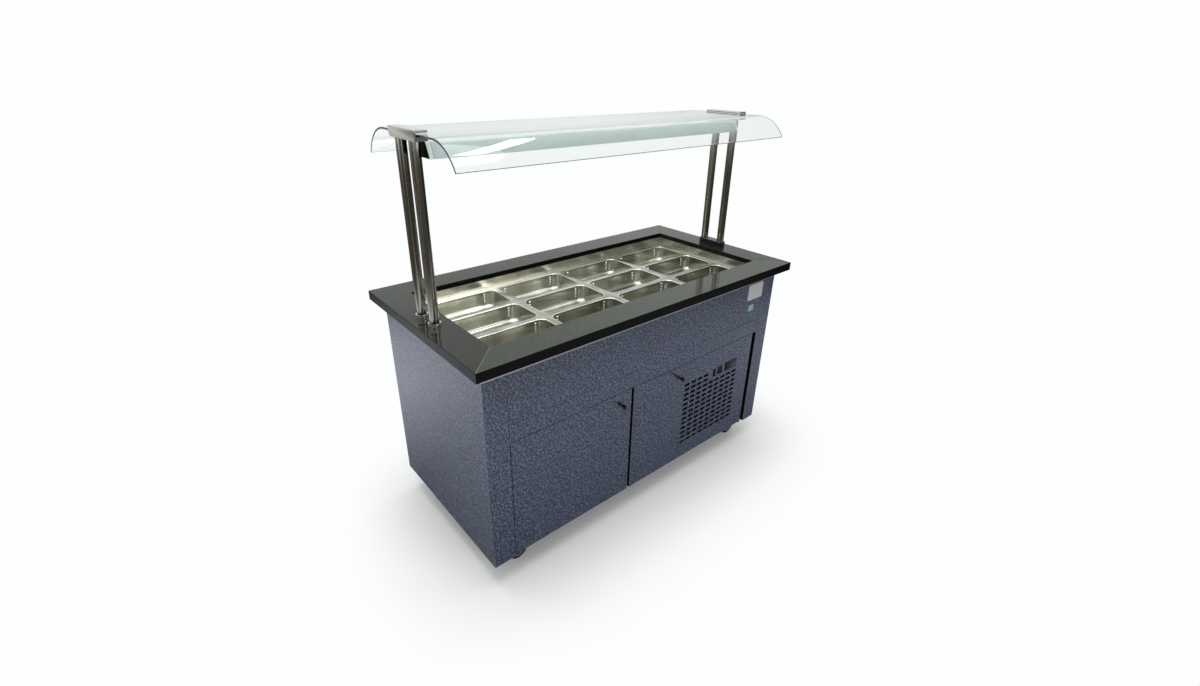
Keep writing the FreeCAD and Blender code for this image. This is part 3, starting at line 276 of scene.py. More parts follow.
# Deck and partition: dark grey melamine-faced boards inside the cabinet, screwed
# to the frame. They show only with a door open or from below.
PAPER_GRAIN = 0.020 / 7
# Melamine: a hard dull paper face with a fine grain.
melamine = material("melamine_faced_board", {"Roughness": 0.55})
grain = node(melamine, "ShaderNodeTexNoise", {"Scale": 1 / PAPER_GRAIN, "Detail": 3.0},
             {"Vector": "Object"})
node(melamine, "ShaderNodeValToRGB", {"stops": [(0.3, "#343537"), (0.7, "#3d3e40")]},
     {"Fac": (grain, "Fac")}, {"Base Color": "Color"})
node(melamine, "ShaderNodeBump", {"Strength": 0.1, "Distance": 0.0003},
     {"Height": (grain, "Fac")}, {"Normal": "Normal"})
coat("base_deck", melamine)
coat("partition", melamine)


# Cabinet boards and doors: chipboard faced in satin high-pressure laminate with
# a printed slate-blue mottle. Mitred at the corners; doors hang on pivots.
BOARD_EDGE = 0.0008
FLECK_LENGTH = 0.008
FLECK_WIDTH = 0.0055
FLECK_LEAN = math.radians(-45)
PATCH = 0.08
PATCH_SHARE = 0.2
SATIN_GRAIN = 0.00125
SMEAR = 0.005
# Laminate: the print is dark and light flecks that lean to the right; wider patches
# turn to purple or green grey. The satin skin has a fine grain.
laminate = material("high_pressure_laminate", {"Roughness": 0.3, "Specular IOR Level": 0.5})
leaning = node(laminate, "ShaderNodeMapping",
               {"vector_type": "TEXTURE", "Rotation": (0.0, FLECK_LEAN, 0.0),
                "Scale": (FLECK_LENGTH, FLECK_WIDTH, FLECK_WIDTH)}, {"Vector": "Object"})
fleck = node(laminate, "ShaderNodeTexNoise", {"Scale": 1.0, "Detail": 3.0, "Roughness": 0.6},
             {"Vector": (leaning, "Vector")})
flecks = node(laminate, "ShaderNodeValToRGB",
              {"stops": [(0.4, "#0b101d"), (0.5, "#333b51"), (0.6, "#7c87a3")]},
              {"Fac": (fleck, "Fac")})
cloud = node(laminate, "ShaderNodeTexNoise", {"Scale": 1 / PATCH, "Detail": 2.0},
             {"Vector": "Object"})
clouds = node(laminate, "ShaderNodeValToRGB", {"stops": [(0.35, "#575676"), (0.65, "#4f6079")]},
              {"Fac": (cloud, "Fac")})
node(laminate, "ShaderNodeMix", {"data_type": "RGBA", 0: PATCH_SHARE},
     {6: (flecks, "Color"), 7: (clouds, "Color")}, {"Base Color": 2})
grain = node(laminate, "ShaderNodeTexNoise", {"Scale": 1 / SATIN_GRAIN, "Detail": 2.0},
             {"Vector": "Object"})
node(laminate, "ShaderNodeBump", {"Strength": 0.15, "Distance": 0.0003},
     {"Height": (grain, "Fac")}, {"Normal": "Normal"})
for board in ("left_end_panel", "right_end_panel", "back_panel"):
    coat(eased(board, BOARD_EDGE), laminate)
# Black edging: a dull strip round the doors and front boards, which also darkens the gaps between
# them as painted shade. The walls of the grille's slots get the same black, as painted shade.
edging = material("black_edging_and_slot_shade", {"Roughness": 0.6, "Specular IOR Level": 0.2})
smear = node(edging, "ShaderNodeTexNoise", {"Scale": 1 / SMEAR, "Detail": 3.0},
             {"Vector": "Object"})
node(edging, "ShaderNodeValToRGB", {"stops": [(0.3, "#080808"), (0.7, "#131313")]},
     {"Fac": (smear, "Fac")}, {"Base Color": "Color"})
for board, width in (("front_boards", BOARD_EDGE), ("left_door", BOARD_EDGE), ("right_door", 0.0)):
    piece = eased(board, width)
    coat(piece, laminate, edging)
    # Every face that does not look to the front or back gets the black: edging, plus painted shade
    # in the slots and gaps.
    for face in piece.data.polygons:
        face.material_index = 1 if abs(face.normal.y) < 0.5 else 0


# Plate and tab: a bare silver plate riveted to the fascia under the stone, and a
# small pale blue tab of film stuck below it. Both are blank.
PLATE_X, PLATE_Z, PLATE_THICK, PLATE_CORNER = (0.553, 0.655), (0.758, 0.829), 0.001, 0.003
TAB_X, TAB_Z, TAB_THICK, TAB_CORNER = (0.570, 0.604), (0.706, 0.734), 0.0003, 0.002
ROLLED_LENGTH = 1.0 / 7
ROLLED_LINE = 0.005 / 3
FADE = 0.0125


def begin(primitive, size, middle):
    """A cube or plane of this size at its place, alone selected, to be shaped."""
    bpy.ops.object.select_all(action="DESELECT")
    primitive(size=1.0, location=middle)
    piece = bpy.context.object
    piece.scale = size
    bpy.ops.object.transform_apply(location=True, rotation=True, scale=True)
    return piece


def raised(name, finish, board, back, across, up, thick, corner, arris, steps):
    """A thin plate on a board, with round corners; arris is a share of its thickness."""
    size = (across[1] - across[0], thick, up[1] - up[0])
    piece = begin(bpy.ops.mesh.primitive_cube_add, size,
                  (sum(across) / 2, back - thick / 2, sum(up) / 2))
    pick(piece, "EDGE", lambda a, b: abs(a.y - b.y) > thick / 2)
    bpy.ops.mesh.bevel(offset=corner, segments=4, affect="EDGES")
    pick(piece, "FACE", lambda c, n: n.y < -SQUARE)
    bpy.ops.mesh.bevel(offset=thick * arris, segments=steps, affect="EDGES")
    bpy.ops.object.mode_set(mode="OBJECT")
    coat(piece, finish)
    settle(piece, name, board)


# Anodised aluminium: pale and dull, with faint lines along the rolling.
silver = material("anodised_aluminium", {"Metallic": 0.5, "Roughness": 0.42})
stretch = node(silver, "ShaderNodeMapping",
               {"Scale": (1 / ROLLED_LENGTH, 1 / ROLLED_LINE, 1 / ROLLED_LINE)},
               {"Vector": "Object"})
lines = node(silver, "ShaderNodeTexNoise", {"Scale": 1.0, "Detail": 2.0},
             {"Vector": (stretch, "Vector")})
node(silver, "ShaderNodeValToRGB", {"stops": [(0.3, "#e0e0df"), (0.7, "#f0f0ee")]},
     {"Fac": (lines, "Fac")}, {"Base Color": "Color"})
# Plastic film: pale blue, unevenly faded.
film = material("pale_blue_film", {"Roughness": 0.35})
fade = node(film, "ShaderNodeTexNoise", {"Scale": 1 / FADE}, {"Vector": "Object"})
node(film, "ShaderNodeValToRGB", {"stops": [(0.3, "#8fc0d2"), (0.7, "#a4cfdd")]},
     {"Fac": (fade, "Fac")}, {"Base Color": "Color"})
board_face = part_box("front_boards")[0].y
raised("blank_plate", silver, "cabinet", board_face,
       PLATE_X, PLATE_Z, PLATE_THICK, PLATE_CORNER, arris=0.3, steps=1)
raised("blank_tab", film, "cabinet", board_face,
       TAB_X, TAB_Z, TAB_THICK, TAB_CORNER, arris=0.3, steps=1)


# Cam locks: black barrels pressed into the doors, each with a brass key left in
# its plug. The cam behind the door turns up behind the rail.
BARREL_EDGE = 0.0006
KEY_EDGE = 0.0005
WEAR = 0.010 / 3
TARNISH = 0.004
# Enamelled zinc: a glossy black that wears grey.
black_enamel = material("black_enamelled_zinc", {"Roughness": 0.3})
wear = node(black_enamel, "ShaderNodeTexNoise", {"Scale": 1 / WEAR, "Detail": 3.0},
            {"Vector": "Object"})
node(black_enamel, "ShaderNodeValToRGB", {"stops": [(0.4, "#121212"), (0.8, "#26262a")]},
     {"Fac": (wear, "Fac")}, {"Base Color": "Color"})
# Worn brass: brown and patchy with handling.
brass = material("worn_brass", {"Metallic": 1.0, "Roughness": 0.35})
tarnish = node(brass, "ShaderNodeTexNoise", {"Scale": 1 / TARNISH, "Detail": 3.0},
               {"Vector": "Object"})
node(brass, "ShaderNodeValToRGB", {"stops": [(0.3, "#3a3524"), (0.7, "#655c3e")]},
     {"Fac": (tarnish, "Fac")}, {"Base Color": "Color"})
for side in ("left", "right"):
    coat(eased(side + "_lock", BARREL_EDGE), black_enamel)
    coat(eased(side + "_key", KEY_EDGE), brass)


# Controls: two rocker switches and an electronic thermostat, all moulded in
# black ABS and clipped into cut-outs above the grille.
SWITCH_EDGE = 0.0004
SPARK = 0.002 / 3
TINT = 0.020 / 3
KEY_X, KEY_PROUD = (0.458, 0.470), 0.0012
WINDOW_X, WINDOW_Z, WINDOW_PROUD = (0.476, 0.528), (0.457, 0.490), 0.0005
FACE_CORNER = 0.003
# Moulded ABS: black with a fine spark texture from the mould, so it hardly shines.
abs_plastic = material("moulded_abs", {"Roughness": 0.45, "Specular IOR Level": 0.15})
spark = node(abs_plastic, "ShaderNodeTexNoise", {"Scale": 1 / SPARK, "Detail": 1.0},
             {"Vector": "Object"})
node(abs_plastic, "ShaderNodeValToRGB", {"stops": [(0.3, "#0d0d0d"), (0.7, "#171717")]},
     {"Fac": (spark, "Fac")}, {"Base Color": "Color"})
for switch in ("control_housings", "power_rocker", "light_rocker"):
    coat(eased(switch, SWITCH_EDGE), abs_plastic)
# Smoked acrylic: a dark grey window over the thermostat's display, with two keys beside it.
smoked = material("smoked_acrylic", {"Roughness": 0.2, "Specular IOR Level": 0.15})
tint = node(smoked, "ShaderNodeTexNoise", {"Scale": 1 / TINT}, {"Vector": "Object"})
node(smoked, "ShaderNodeValToRGB", {"stops": [(0.3, "#2b3034"), (0.7, "#353b3f")]},
     {"Fac": (tint, "Fac")}, {"Base Color": "Color"})
housing_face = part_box("control_housings")[0].y
for name, finish, across, up, proud in (
        ("thermostat_window", smoked, WINDOW_X, WINDOW_Z, WINDOW_PROUD),
        ("thermostat_key_up", abs_plastic, KEY_X, (0.476, 0.486), KEY_PROUD),
        ("thermostat_key_down", abs_plastic, KEY_X, (0.461, 0.471), KEY_PROUD)):
    raised(name, finish, "right_door", housing_face,
           across, up, proud, FACE_CORNER, arris=0.4, steps=2)


# Condensing unit: a black hermetic compressor, a condenser with black-coated fins,
# a fan on its motor and copper lines, bolted to the deck behind the grille. The
# lines run on to a coil of the same copper under the well.
FIN_LINE = math.pi / 200
MILL = 0.025
BLOOM = 0.05 / 3
# Mill aluminium: plain grey sheet, a little cloudy.
aluminium = material("mill_aluminium", {"Metallic": 1.0, "Roughness": 0.4})
mill = node(aluminium, "ShaderNodeTexNoise", {"Scale": 1 / MILL, "Detail": 3.0},
            {"Vector": "Object"})
node(aluminium, "ShaderNodeValToRGB", {"stops": [(0.3, "#9a9c9d"), (0.7, "#b8babb")]},
     {"Fac": (mill, "Fac")}, {"Base Color": "Color"})
# Coated fins: black, 2.5 mm apart. That is too fine to show, so they are drawn as upright lines 16
# mm apart, in a near-black that also paints the shade deep between them. A wave of scale 1 turns 20
# radians in a metre.
fins = material("black_coated_fins_and_painted_shade", {"Roughness": 0.8, "Specular IOR Level": 0.1})
comb = node(fins, "ShaderNodeTexWave",
            {"Scale": 2 * math.pi / (20 * FIN_LINE), "Distortion": 0.2}, {"Vector": "Object"})
node(fins, "ShaderNodeValToRGB", {"stops": [(0.3, "#040404"), (0.7, "#0d0d0d")]},
     {"Fac": (comb, "Fac")}, {"Base Color": "Color"})
# Drawn copper: warm, with a brown bloom.
copper = material("drawn_copper", {"Metallic": 1.0, "Roughness": 0.35})
bloom = node(copper, "ShaderNodeTexNoise", {"Scale": 1 / BLOOM, "Detail": 3.0},
             {"Vector": "Object"})
node(copper, "ShaderNodeValToRGB", {"stops": [(0.3, "#8a4f35"), (0.7, "#c07a58")]},
     {"Fac": (bloom, "Fac")}, {"Base Color": "Color"})
coat("condenser", fins)
for unit, slot, finish in (
        ("compressor", "black_frame", powder_coat), ("fan_motor", "black_frame", powder_coat),
        ("fan_blade", "aluminium", aluminium), ("refrigerant_pipes", "copper", copper),
        ("evaporator_coil", "copper", copper)):
    coat(eased(unit), finish)


# Well: stainless sheet welded into a tub with a ledge, hung under the stone by
# its flange, with foam boards round it and bars under the joints of the pans.
BRUSH_LINE = 0.0016
BRUSH_LENGTH = 0.4
GROUND_LINE = 0.002
GROUND_LENGTH = 0.125
CELL = 0.0025
# Brushed stainless: fine lines along the length, so highlights streak across them.
stainless = material("brushed_stainless", {"Metallic": 1.0, "Base Color": linear("#d3d2c9")})
stretch = node(stainless, "ShaderNodeMapping",
               {"Scale": (1 / BRUSH_LENGTH, 1 / BRUSH_LINE, 1 / BRUSH_LINE)},
               {"Vector": "Object"})
lines = node(stainless, "ShaderNodeTexNoise", {"Scale": 1.0, "Detail": 3.0},
             {"Vector": (stretch, "Vector")})
node(stainless, "ShaderNodeMapRange", {"To Min": 0.2, "To Max": 0.26},
     {"Value": (lines, "Fac")}, {"Roughness": "Result"})
# Rigid foam: straw-coloured and matt, with small cells.
foam = material("rigid_foam", {"Roughness": 0.9})
cell = node(foam, "ShaderNodeTexNoise", {"Scale": 1 / CELL, "Detail": 3.0}, {"Vector": "Object"})
node(foam, "ShaderNodeValToRGB", {"stops": [(0.3, "#c9b883"), (0.7, "#dccd9e")]},
     {"Fac": (cell, "Fac")}, {"Base Color": "Color"})
# Satin stainless of the frame's band: ground dull, so it is greyer.
satin = material("satin_stainless", {"Metallic": 1.0, "Base Color": linear("#a5a59f")})
stretch = node(satin, "ShaderNodeMapping",
               {"Scale": (1 / GROUND_LENGTH, 1 / GROUND_LENGTH, 1 / GROUND_LINE)},
               {"Vector": "Object"})
lines = node(satin, "ShaderNodeTexNoise", {"Scale": 1.0, "Detail": 3.0},
             {"Vector": (stretch, "Vector")})
node(satin, "ShaderNodeMapRange", {"To Min": 0.28, "To Max": 0.45},
     {"Value": (lines, "Fac")}, {"Roughness": "Result"})
coat("top_frame", satin)
coat("well_liner", stainless)
coat("pan_support_bars", stainless)
coat("well_insulation", foam)


# Pans: twelve third-size gastronorm pans pressed from stainless sheet, with a
# flat flange, round corners and stacking lugs. They hang in the well by the rim.
FLANGE_CORNER = 0.008
PAN_MOUTH = (0.300, 0.1567)
PAN_CORNER = 0.030
PAN_DEPTH = 0.065
PAN_DRAFT = 0.004
DRAFT_AT_BEND = 0.6
PAN_BEND = 0.014
PAN_SHEET = 0.001
LIP = 0.0025
# The rings of the wall under the lip: how far in from it, and how deep.
WALL_RINGS = ((0.0003, 0.010), (0.0006, 0.014), (0.0008, 0.018), (0.001, 0.022),
              (0.0012, 0.026), (0.0013, 0.032))
FLOOR_MARGIN = 0.008
LUG = (0.006, 0.0028, 0.0042)
LUG_DEPTHS = (0.014, 0.025, 0.036, 0.046)
LUG_SINK = 0.0015
LUG_FACE = 0.000006
CORNER_STEPS = 10
MOUTH_SLACK = 0.0005
DRAWN_WIDTH = 0.1
DRAWN_HEIGHT = 5.0
RUBBED = 0.1 / 9
low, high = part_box("pan_1_1")
first_pan = (low + high) / 2
rim = high.z
middle = Vector((first_pan.x, first_pan.y, rim))
pan = begin(bpy.ops.mesh.primitive_plane_add, (high.x - low.x, high.y - low.y, 1.0), middle)
bpy.ops.object.mode_set(mode="EDIT")
bpy.ops.mesh.select_all(action="SELECT")
bpy.ops.mesh.bevel(offset=FLANGE_CORNER, segments=CORNER_STEPS, affect="VERTICES")
bpy.ops.mesh.delete(type="ONLY_FACE")
# The mouth is a second outline inside the flange's, with as many points.
bpy.ops.mesh.primitive_plane_add(size=1.0, location=middle)
bpy.ops.transform.resize(value=(*PAN_MOUTH, 1.0), center_override=middle)
bpy.ops.mesh.bevel(offset=PAN_CORNER, segments=CORNER_STEPS, affect="VERTICES")
bpy.ops.mesh.delete(type="ONLY_FACE")
bpy.ops.mesh.select_all(action="SELECT")
bpy.ops.mesh.bridge_edge_loops()


def in_mouth(point, slack=0.0):
    """Whether a point of the first pan lies inside its mouth, seen from above."""
    return all(abs(point[axis] - middle[axis]) * 2 < PAN_MOUTH[axis] + slack for axis in (0, 1))


def arc(radius, angles):
    """Points of a quarter bend: how far round it reaches in, and how far down."""
    turns = [math.radians(angle) for angle in angles]
    return [(radius * math.sin(turn), radius * (1 - math.cos(turn))) for turn in turns]


def thickened(piece, thickness, upper):
    """Gives a sheet its thickness underneath; the face that ranks highest in upper looks up."""
    bpy.ops.mesh.select_all(action="SELECT")
    bpy.ops.mesh.normals_make_consistent(inside=False)
    bpy.ops.object.mode_set(mode="OBJECT")
    if max(piece.data.polygons, key=upper).normal.z < 0:
        bpy.ops.object.mode_set(mode="EDIT")
        bpy.ops.mesh.flip_normals()
        bpy.ops.object.mode_set(mode="OBJECT")
    modify(piece, "sheet", "SOLIDIFY", thickness=thickness, offset=-1.0)


# From the mouth the sheet rolls over the lip, runs down the drafted wall and bends
# into the floor.
pick(pan, "EDGE", lambda a, b: in_mouth(a, MOUTH_SLACK) and in_mouth(b, MOUTH_SLACK))
wall_foot = LIP + PAN_DRAFT * DRAFT_AT_BEND
bend_top = PAN_DEPTH - PAN_BEND
steps = arc(LIP, (30, 60, 85))
steps += [(LIP + inset, depth) for inset, depth in WALL_RINGS]
steps += [(wall_foot, bend_top)]
steps += [(wall_foot + down, bend_top + across)
          for across, down in arc(PAN_BEND, (15, 30, 45, 60, 75, 90))]
steps += [(LIP + PAN_DRAFT + PAN_BEND + FLOOR_MARGIN, PAN_DEPTH)]
inset, depth = 0.0, 0.0
for new_inset, new_depth in steps:
    bpy.ops.mesh.extrude_edges_move(TRANSFORM_OT_translate={"value": (0, 0, depth - new_depth)})
    shrink = [(side - 2 * new_inset) / (side - 2 * inset) for side in PAN_MOUTH]
    bpy.ops.transform.resize(value=(*shrink, 1.0), center_override=middle)
    inset, depth = new_inset, new_depth
bpy.ops.mesh.edge_face_add()
thickened(pan, PAN_SHEET, lambda face: -face.center.z)
# Small lugs stand in from the long walls by the corners, so stacked pans come apart.
lug_x = PAN_MOUTH[0] / 2 - PAN_CORNER - LUG[0]
lug_y = PAN_MOUTH[1] / 2 - LIP - LUG_SINK
for side_x in (-1, 1):
    for side_y in (-1, 1):
        for lug_depth in LUG_DEPTHS:
            bpy.ops.mesh.primitive_uv_sphere_add(segments=12, ring_count=8, radius=1.0)
            lug = bpy.context.object
            lug.scale = LUG
            lug.location = middle + Vector((side_x * lug_x, side_y * lug_y, -lug_depth))
            pan.select_set(True)
            bpy.context.view_layer.objects.active = pan
            bpy.ops.object.join()
# Pressed stainless: a satin sheet, with upright clouds where the press drew it. The pans are
# painted brighter towards the back and the left, as painted light.
pressed = material("pressed_stainless", {"Metallic": 1.0})
upright = node(pressed, "ShaderNodeMapping", {"Scale": (1.0, 1.0, DRAWN_WIDTH / DRAWN_HEIGHT)},
               {"Vector": "Object"})
drawn = node(pressed, "ShaderNodeTexNoise", {"Scale": 1 / DRAWN_WIDTH, "Detail": 1.0},
             {"Vector": (upright, "Vector")})
# Painted light: a slope that brightens the base colour towards the back and the left.
painted_light_slope = node(pressed, "ShaderNodeVectorMath",
            {"operation": "DOT_PRODUCT", 1: (-0.12, 0.6, 0.0)}, {0: "Object"})
bright = node(pressed, "ShaderNodeMath", {"operation": "ADD"},
              {0: (drawn, "Fac"), 1: (painted_light_slope, "Value")})
node(pressed, "ShaderNodeValToRGB",
     {"stops": [(0.35, "#adaca1"), (0.65, "#d1d0c6"), (0.85, "#e7e6dc")]},
     {"Fac": (bright, 0)}, {"Base Color": "Color"})
node(pressed, "ShaderNodeMapRange", {"To Min": 0.2, "To Max": 0.24},
     {"Value": (drawn, "Fac")}, {"Roughness": "Result"})
# Polished stainless of the lips and lugs: brighter and smoother than the sheet, as a painted
# highlight along the rims and on the lugs.
lip_polish_and_painted_highlight = material("polished_stainless_lip_painted_highlight",
                     {"Metallic": 1.0, "Base Color": linear("#e8e8e0")})
worn = node(lip_polish_and_painted_highlight, "ShaderNodeTexNoise", {"Scale": 1 / RUBBED, "Detail": 2.0},
            {"Vector": "Object"})
node(lip_polish_and_painted_highlight, "ShaderNodeMapRange", {"To Min": 0.12, "To Max": 0.3},
     {"Value": (worn, "Fac")}, {"Roughness": "Result"})
coat(pan, pressed, lip_polish_and_painted_highlight)
for face in pan.data.polygons:
    on_lug = face.area < LUG_FACE and face.center.z < rim - LUG_DEPTHS[0] / 2
    on_lip = face.center.z > rim - LIP
    face.material_index = 1 if in_mouth(face.center) and (on_lug or on_lip) else 0
first_sheet = pan.data.copy()
bpy.data.objects.remove(pan)
for column in range(1, 5):
    for row in range(1, 4):
        name = f"pan_{column}_{row}"
        low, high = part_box(name)
        pan = copied(name + ".pressed", first_sheet)
        pan.location = ((low + high) / 2 - first_pan) * Vector((1, 1, 0))
        settle(pan, name + ".pressed", name)
        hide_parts(name)


# Stone top: four rails of polished black granite, mitred and glued at the
# corners, with eased arrises. They lie on the steel frame and carry the gantry.
STONE_ARRIS = 0.0006
CRYSTAL = 0.0018
MITRE_AT = 0.38245
MITRE_WIDTH = 0.0016
# Polished granite: almost black, with close green-grey crystals under a mirror skin.
# The front mitres show as fine pale lines, where length and width differ by MITRE_AT,
# and the front slab between them is a little paler than the other three.
granite = material("polished_granite", {"Roughness": 0.05, "IOR": 1.36})
crystal = node(granite, "ShaderNodeTexVoronoi", {"Scale": 1 / CRYSTAL}, {"Vector": "Object"})
crystals = node(granite, "ShaderNodeValToRGB", {"stops": [(0.1, "#171914"), (0.8, "#2b2e27")]},
                {"Fac": (crystal, "Color")})
paler = node(granite, "ShaderNodeValToRGB", {"stops": [(0.1, "#292c26"), (0.8, "#3c4038")]},
             {"Fac": (crystal, "Color")})
sides = node(granite, "ShaderNodeSeparateXYZ", {}, {0: "Object"})
across = node(granite, "ShaderNodeMath", {"operation": "ABSOLUTE"}, {0: (sides, "X")})
apart = node(granite, "ShaderNodeMath", {"operation": "ADD"}, {0: (across, 0), 1: (sides, "Y")})
front = node(granite, "ShaderNodeMath", {"operation": "LESS_THAN", 1: 0.0}, {0: (sides, "Y")})
within = node(granite, "ShaderNodeMath", {"operation": "LESS_THAN", 1: MITRE_AT},
              {0: (apart, 0)})
front_slab = node(granite, "ShaderNodeMath", {"operation": "MULTIPLY"},
                  {0: (within, 0), 1: (front, 0)})
joint = node(granite, "ShaderNodeMath", {"operation": "COMPARE", 1: MITRE_AT, 2: MITRE_WIDTH},
             {0: (apart, 0)})
mitre = node(granite, "ShaderNodeMath", {"operation": "MULTIPLY"}, {0: (joint, 0), 1: (front, 0)})
slabs = node(granite, "ShaderNodeMix", {"data_type": "RGBA"},
             {0: (front_slab, 0), 6: (crystals, "Color"), 7: (paler, "Color")})
node(granite, "ShaderNodeMix", {"data_type": "RGBA", 7: linear("#656f66")},
     {0: (mitre, 0), 6: (slabs, 2)}, {"Base Color": 2})
# Honed granite: the sawn edges reflect less. A paler copy on the end faces is painted light; the
# long ones read black.
honed = material("honed_granite", {"Roughness": 0.25, "IOR": 1.13})
end_honed_painted_light = material("honed_granite_end_painted_light", {"Roughness": 0.2, "IOR": 1.13})
for finish, stops in ((honed, [(0.1, "#060705"), (0.8, "#12140f")]),
                      (end_honed_painted_light, [(0.1, "#10120f"), (0.8, "#22251f")])):
    crystal = node(finish, "ShaderNodeTexVoronoi", {"Scale": 1 / CRYSTAL}, {"Vector": "Object"})
    node(finish, "ShaderNodeValToRGB", {"stops": stops}, {"Fac": (crystal, "Color")},
         {"Base Color": "Color"})
for rail in ("top_front", "top_back", "top_left", "top_right"):
    piece = eased(rail, STONE_ARRIS)
    coat(piece, granite, honed, end_honed_painted_light)
    for face in piece.data.polygons:
        long_edge, end_edge = abs(face.normal.y) > 0.6, abs(face.normal.x) > 0.6
        face.material_index = 1 if long_edge else 2 if end_edge else 0


# Gantry posts: two pairs of polished stainless tube, held by studs through the
# stone. The left pair stands in chromed collars, the right pair in a black shoe.
FOOT_SHADE_HEIGHT = 0.014
STREAK_WIDTH = 0.050 / 13
STREAK_LENGTH = 2.5 / 3
PIT = 0.00625
SINK_MARK = 0.1 / 9
COLLAR_EDGE = 0.001
SHOE_EDGE = 0.002
collar_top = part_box("left_post_collars")[1].z
# Polished tube: dark and light streaks along it, partly lines from the drawing and the polishing,
# partly painted reflections.
post_steel = material("polished_stainless_tube", {"Metallic": 1.0})
stretch = node(post_steel, "ShaderNodeMapping",
               {"Scale": (1 / STREAK_WIDTH, 1 / STREAK_WIDTH, 1 / STREAK_LENGTH)},
               {"Vector": "Object"})
lines = node(post_steel, "ShaderNodeTexNoise", {"Scale": 1.0, "Detail": 3.0, "Roughness": 0.6},
             {"Vector": (stretch, "Vector")})
streaks_and_painted_reflection = node(post_steel, "ShaderNodeValToRGB",
               {"stops": [(0.32, "#615e57"), (0.5, "#a8a59c"), (0.66, "#e4e1d7")]},
               {"Fac": (lines, "Fac")})
# Each tube is painted dark just above its collar or shoe: painted shade in the gap and a painted
# reflection of the dark stone.
foot = node(post_steel, "ShaderNodeSeparateXYZ", {}, {0: "Object"})
painted_foot_shade = node(post_steel, "ShaderNodeMapRange",
             {"From Min": collar_top, "From Max": collar_top + FOOT_SHADE_HEIGHT},
             {"Value": (foot, "Z")})
node(post_steel, "ShaderNodeMix", {"data_type": "RGBA", 6: linear("#1c1b19")},
     {0: (painted_foot_shade, "Result"), 7: (streaks_and_painted_reflection, "Color")}, {"Base Color": 2})
node(post_steel, "ShaderNodeMapRange", {"To Min": 0.08, "To Max": 0.2},
     {"Value": (lines, "Fac")}, {"Roughness": "Result"})
coat(eased("gantry_posts"), post_steel)
# Chrome: bright, and pitted so that it sparkles.
chrome = material("chromed_brass",
                  {"Metallic": 1.0, "Base Color": linear("#e2e2df"), "Roughness": 0.15})
pits = node(chrome, "ShaderNodeTexVoronoi", {"Scale": 1 / PIT}, {"Vector": "Object"})
node(chrome, "ShaderNodeBump", {"Strength": 0.5, "Distance": 0.002},
     {"Height": (pits, "Distance")}, {"Normal": "Normal"})
coat(eased("left_post_collars", COLLAR_EDGE), chrome)
# Black acetal: the moulded shoe shines, with slight sink marks.
shoe_plastic = material("glossy_black_acetal",
                        {"Base Color": linear("#101211"), "Roughness": 0.12})
sink = node(shoe_plastic, "ShaderNodeTexNoise", {"Scale": 1 / SINK_MARK, "Detail": 2.0},
            {"Vector": "Object"})
node(shoe_plastic, "ShaderNodeBump", {"Strength": 0.5, "Distance": 0.002},
     {"Height": (sink, "Fac")}, {"Normal": "Normal"})
coat(eased("right_post_shoe", SHOE_EDGE), shoe_plastic)


# Glass clamps: stainless blocks on the posts' heads, slotted for the glass, with
# a brushed finish and a strip of clear silicone that presses on the glass.
CLAMP_EDGE = 0.0008
GASKETS = {"left": 0.008, "right": 0.004}
SHADOW_GAP = 0.0025
STRIP_FOOT = 0.0015
SHADED_END_BELOW = 0.002
NEAR = 0.0001
HANDLED = 0.05 / 3
SAW_MARK = 0.0025
SILICONE_BLOOM = 0.025 / 3
# Brushed bar: dull, with lines along the block.
clamp_steel = material("brushed_stainless_bar",
                       {"Metallic": 1.0, "Base Color": linear("#d4d4d0")})
stretch = node(clamp_steel, "ShaderNodeMapping",
               {"Scale": (1 / GROUND_LINE, 1 / GROUND_LENGTH, 1 / GROUND_LINE)},
               {"Vector": "Object"})
lines = node(clamp_steel, "ShaderNodeTexNoise", {"Scale": 1.0, "Detail": 3.0},
             {"Vector": (stretch, "Vector")})
node(clamp_steel, "ShaderNodeMapRange", {"To Min": 0.28, "To Max": 0.45},
     {"Value": (lines, "Fac")}, {"Roughness": "Result"})
# Polished bar: the clamps' tops and the lips of their upper jaws are smoother, and drawn brighter
# as painted light from above.
polished = material("polished_stainless_bar_painted_light",
                    {"Metallic": 1.0, "Base Color": linear("#e6e6e4")})
smear = node(polished, "ShaderNodeTexNoise", {"Scale": 1 / HANDLED, "Detail": 3.0},
             {"Vector": "Object"})
node(polished, "ShaderNodeMapRange", {"To Min": 0.1, "To Max": 0.25},
     {"Value": (smear, "Fac")}, {"Roughness": "Result"})
# Sawn bar: the end faces are matt, and drawn darker as painted shade.
sawn = material("sawn_stainless_bar_painted_shade", {"Metallic": 1.0, "Roughness": 0.5})
marks = node(sawn, "ShaderNodeTexNoise", {"Scale": 1 / SAW_MARK, "Detail": 2.0},
             {"Vector": "Object"})
node(sawn, "ShaderNodeValToRGB", {"stops": [(0.3, "#6c6f6e"), (0.7, "#818482")]},
     {"Fac": (marks, "Fac")}, {"Base Color": "Color"})
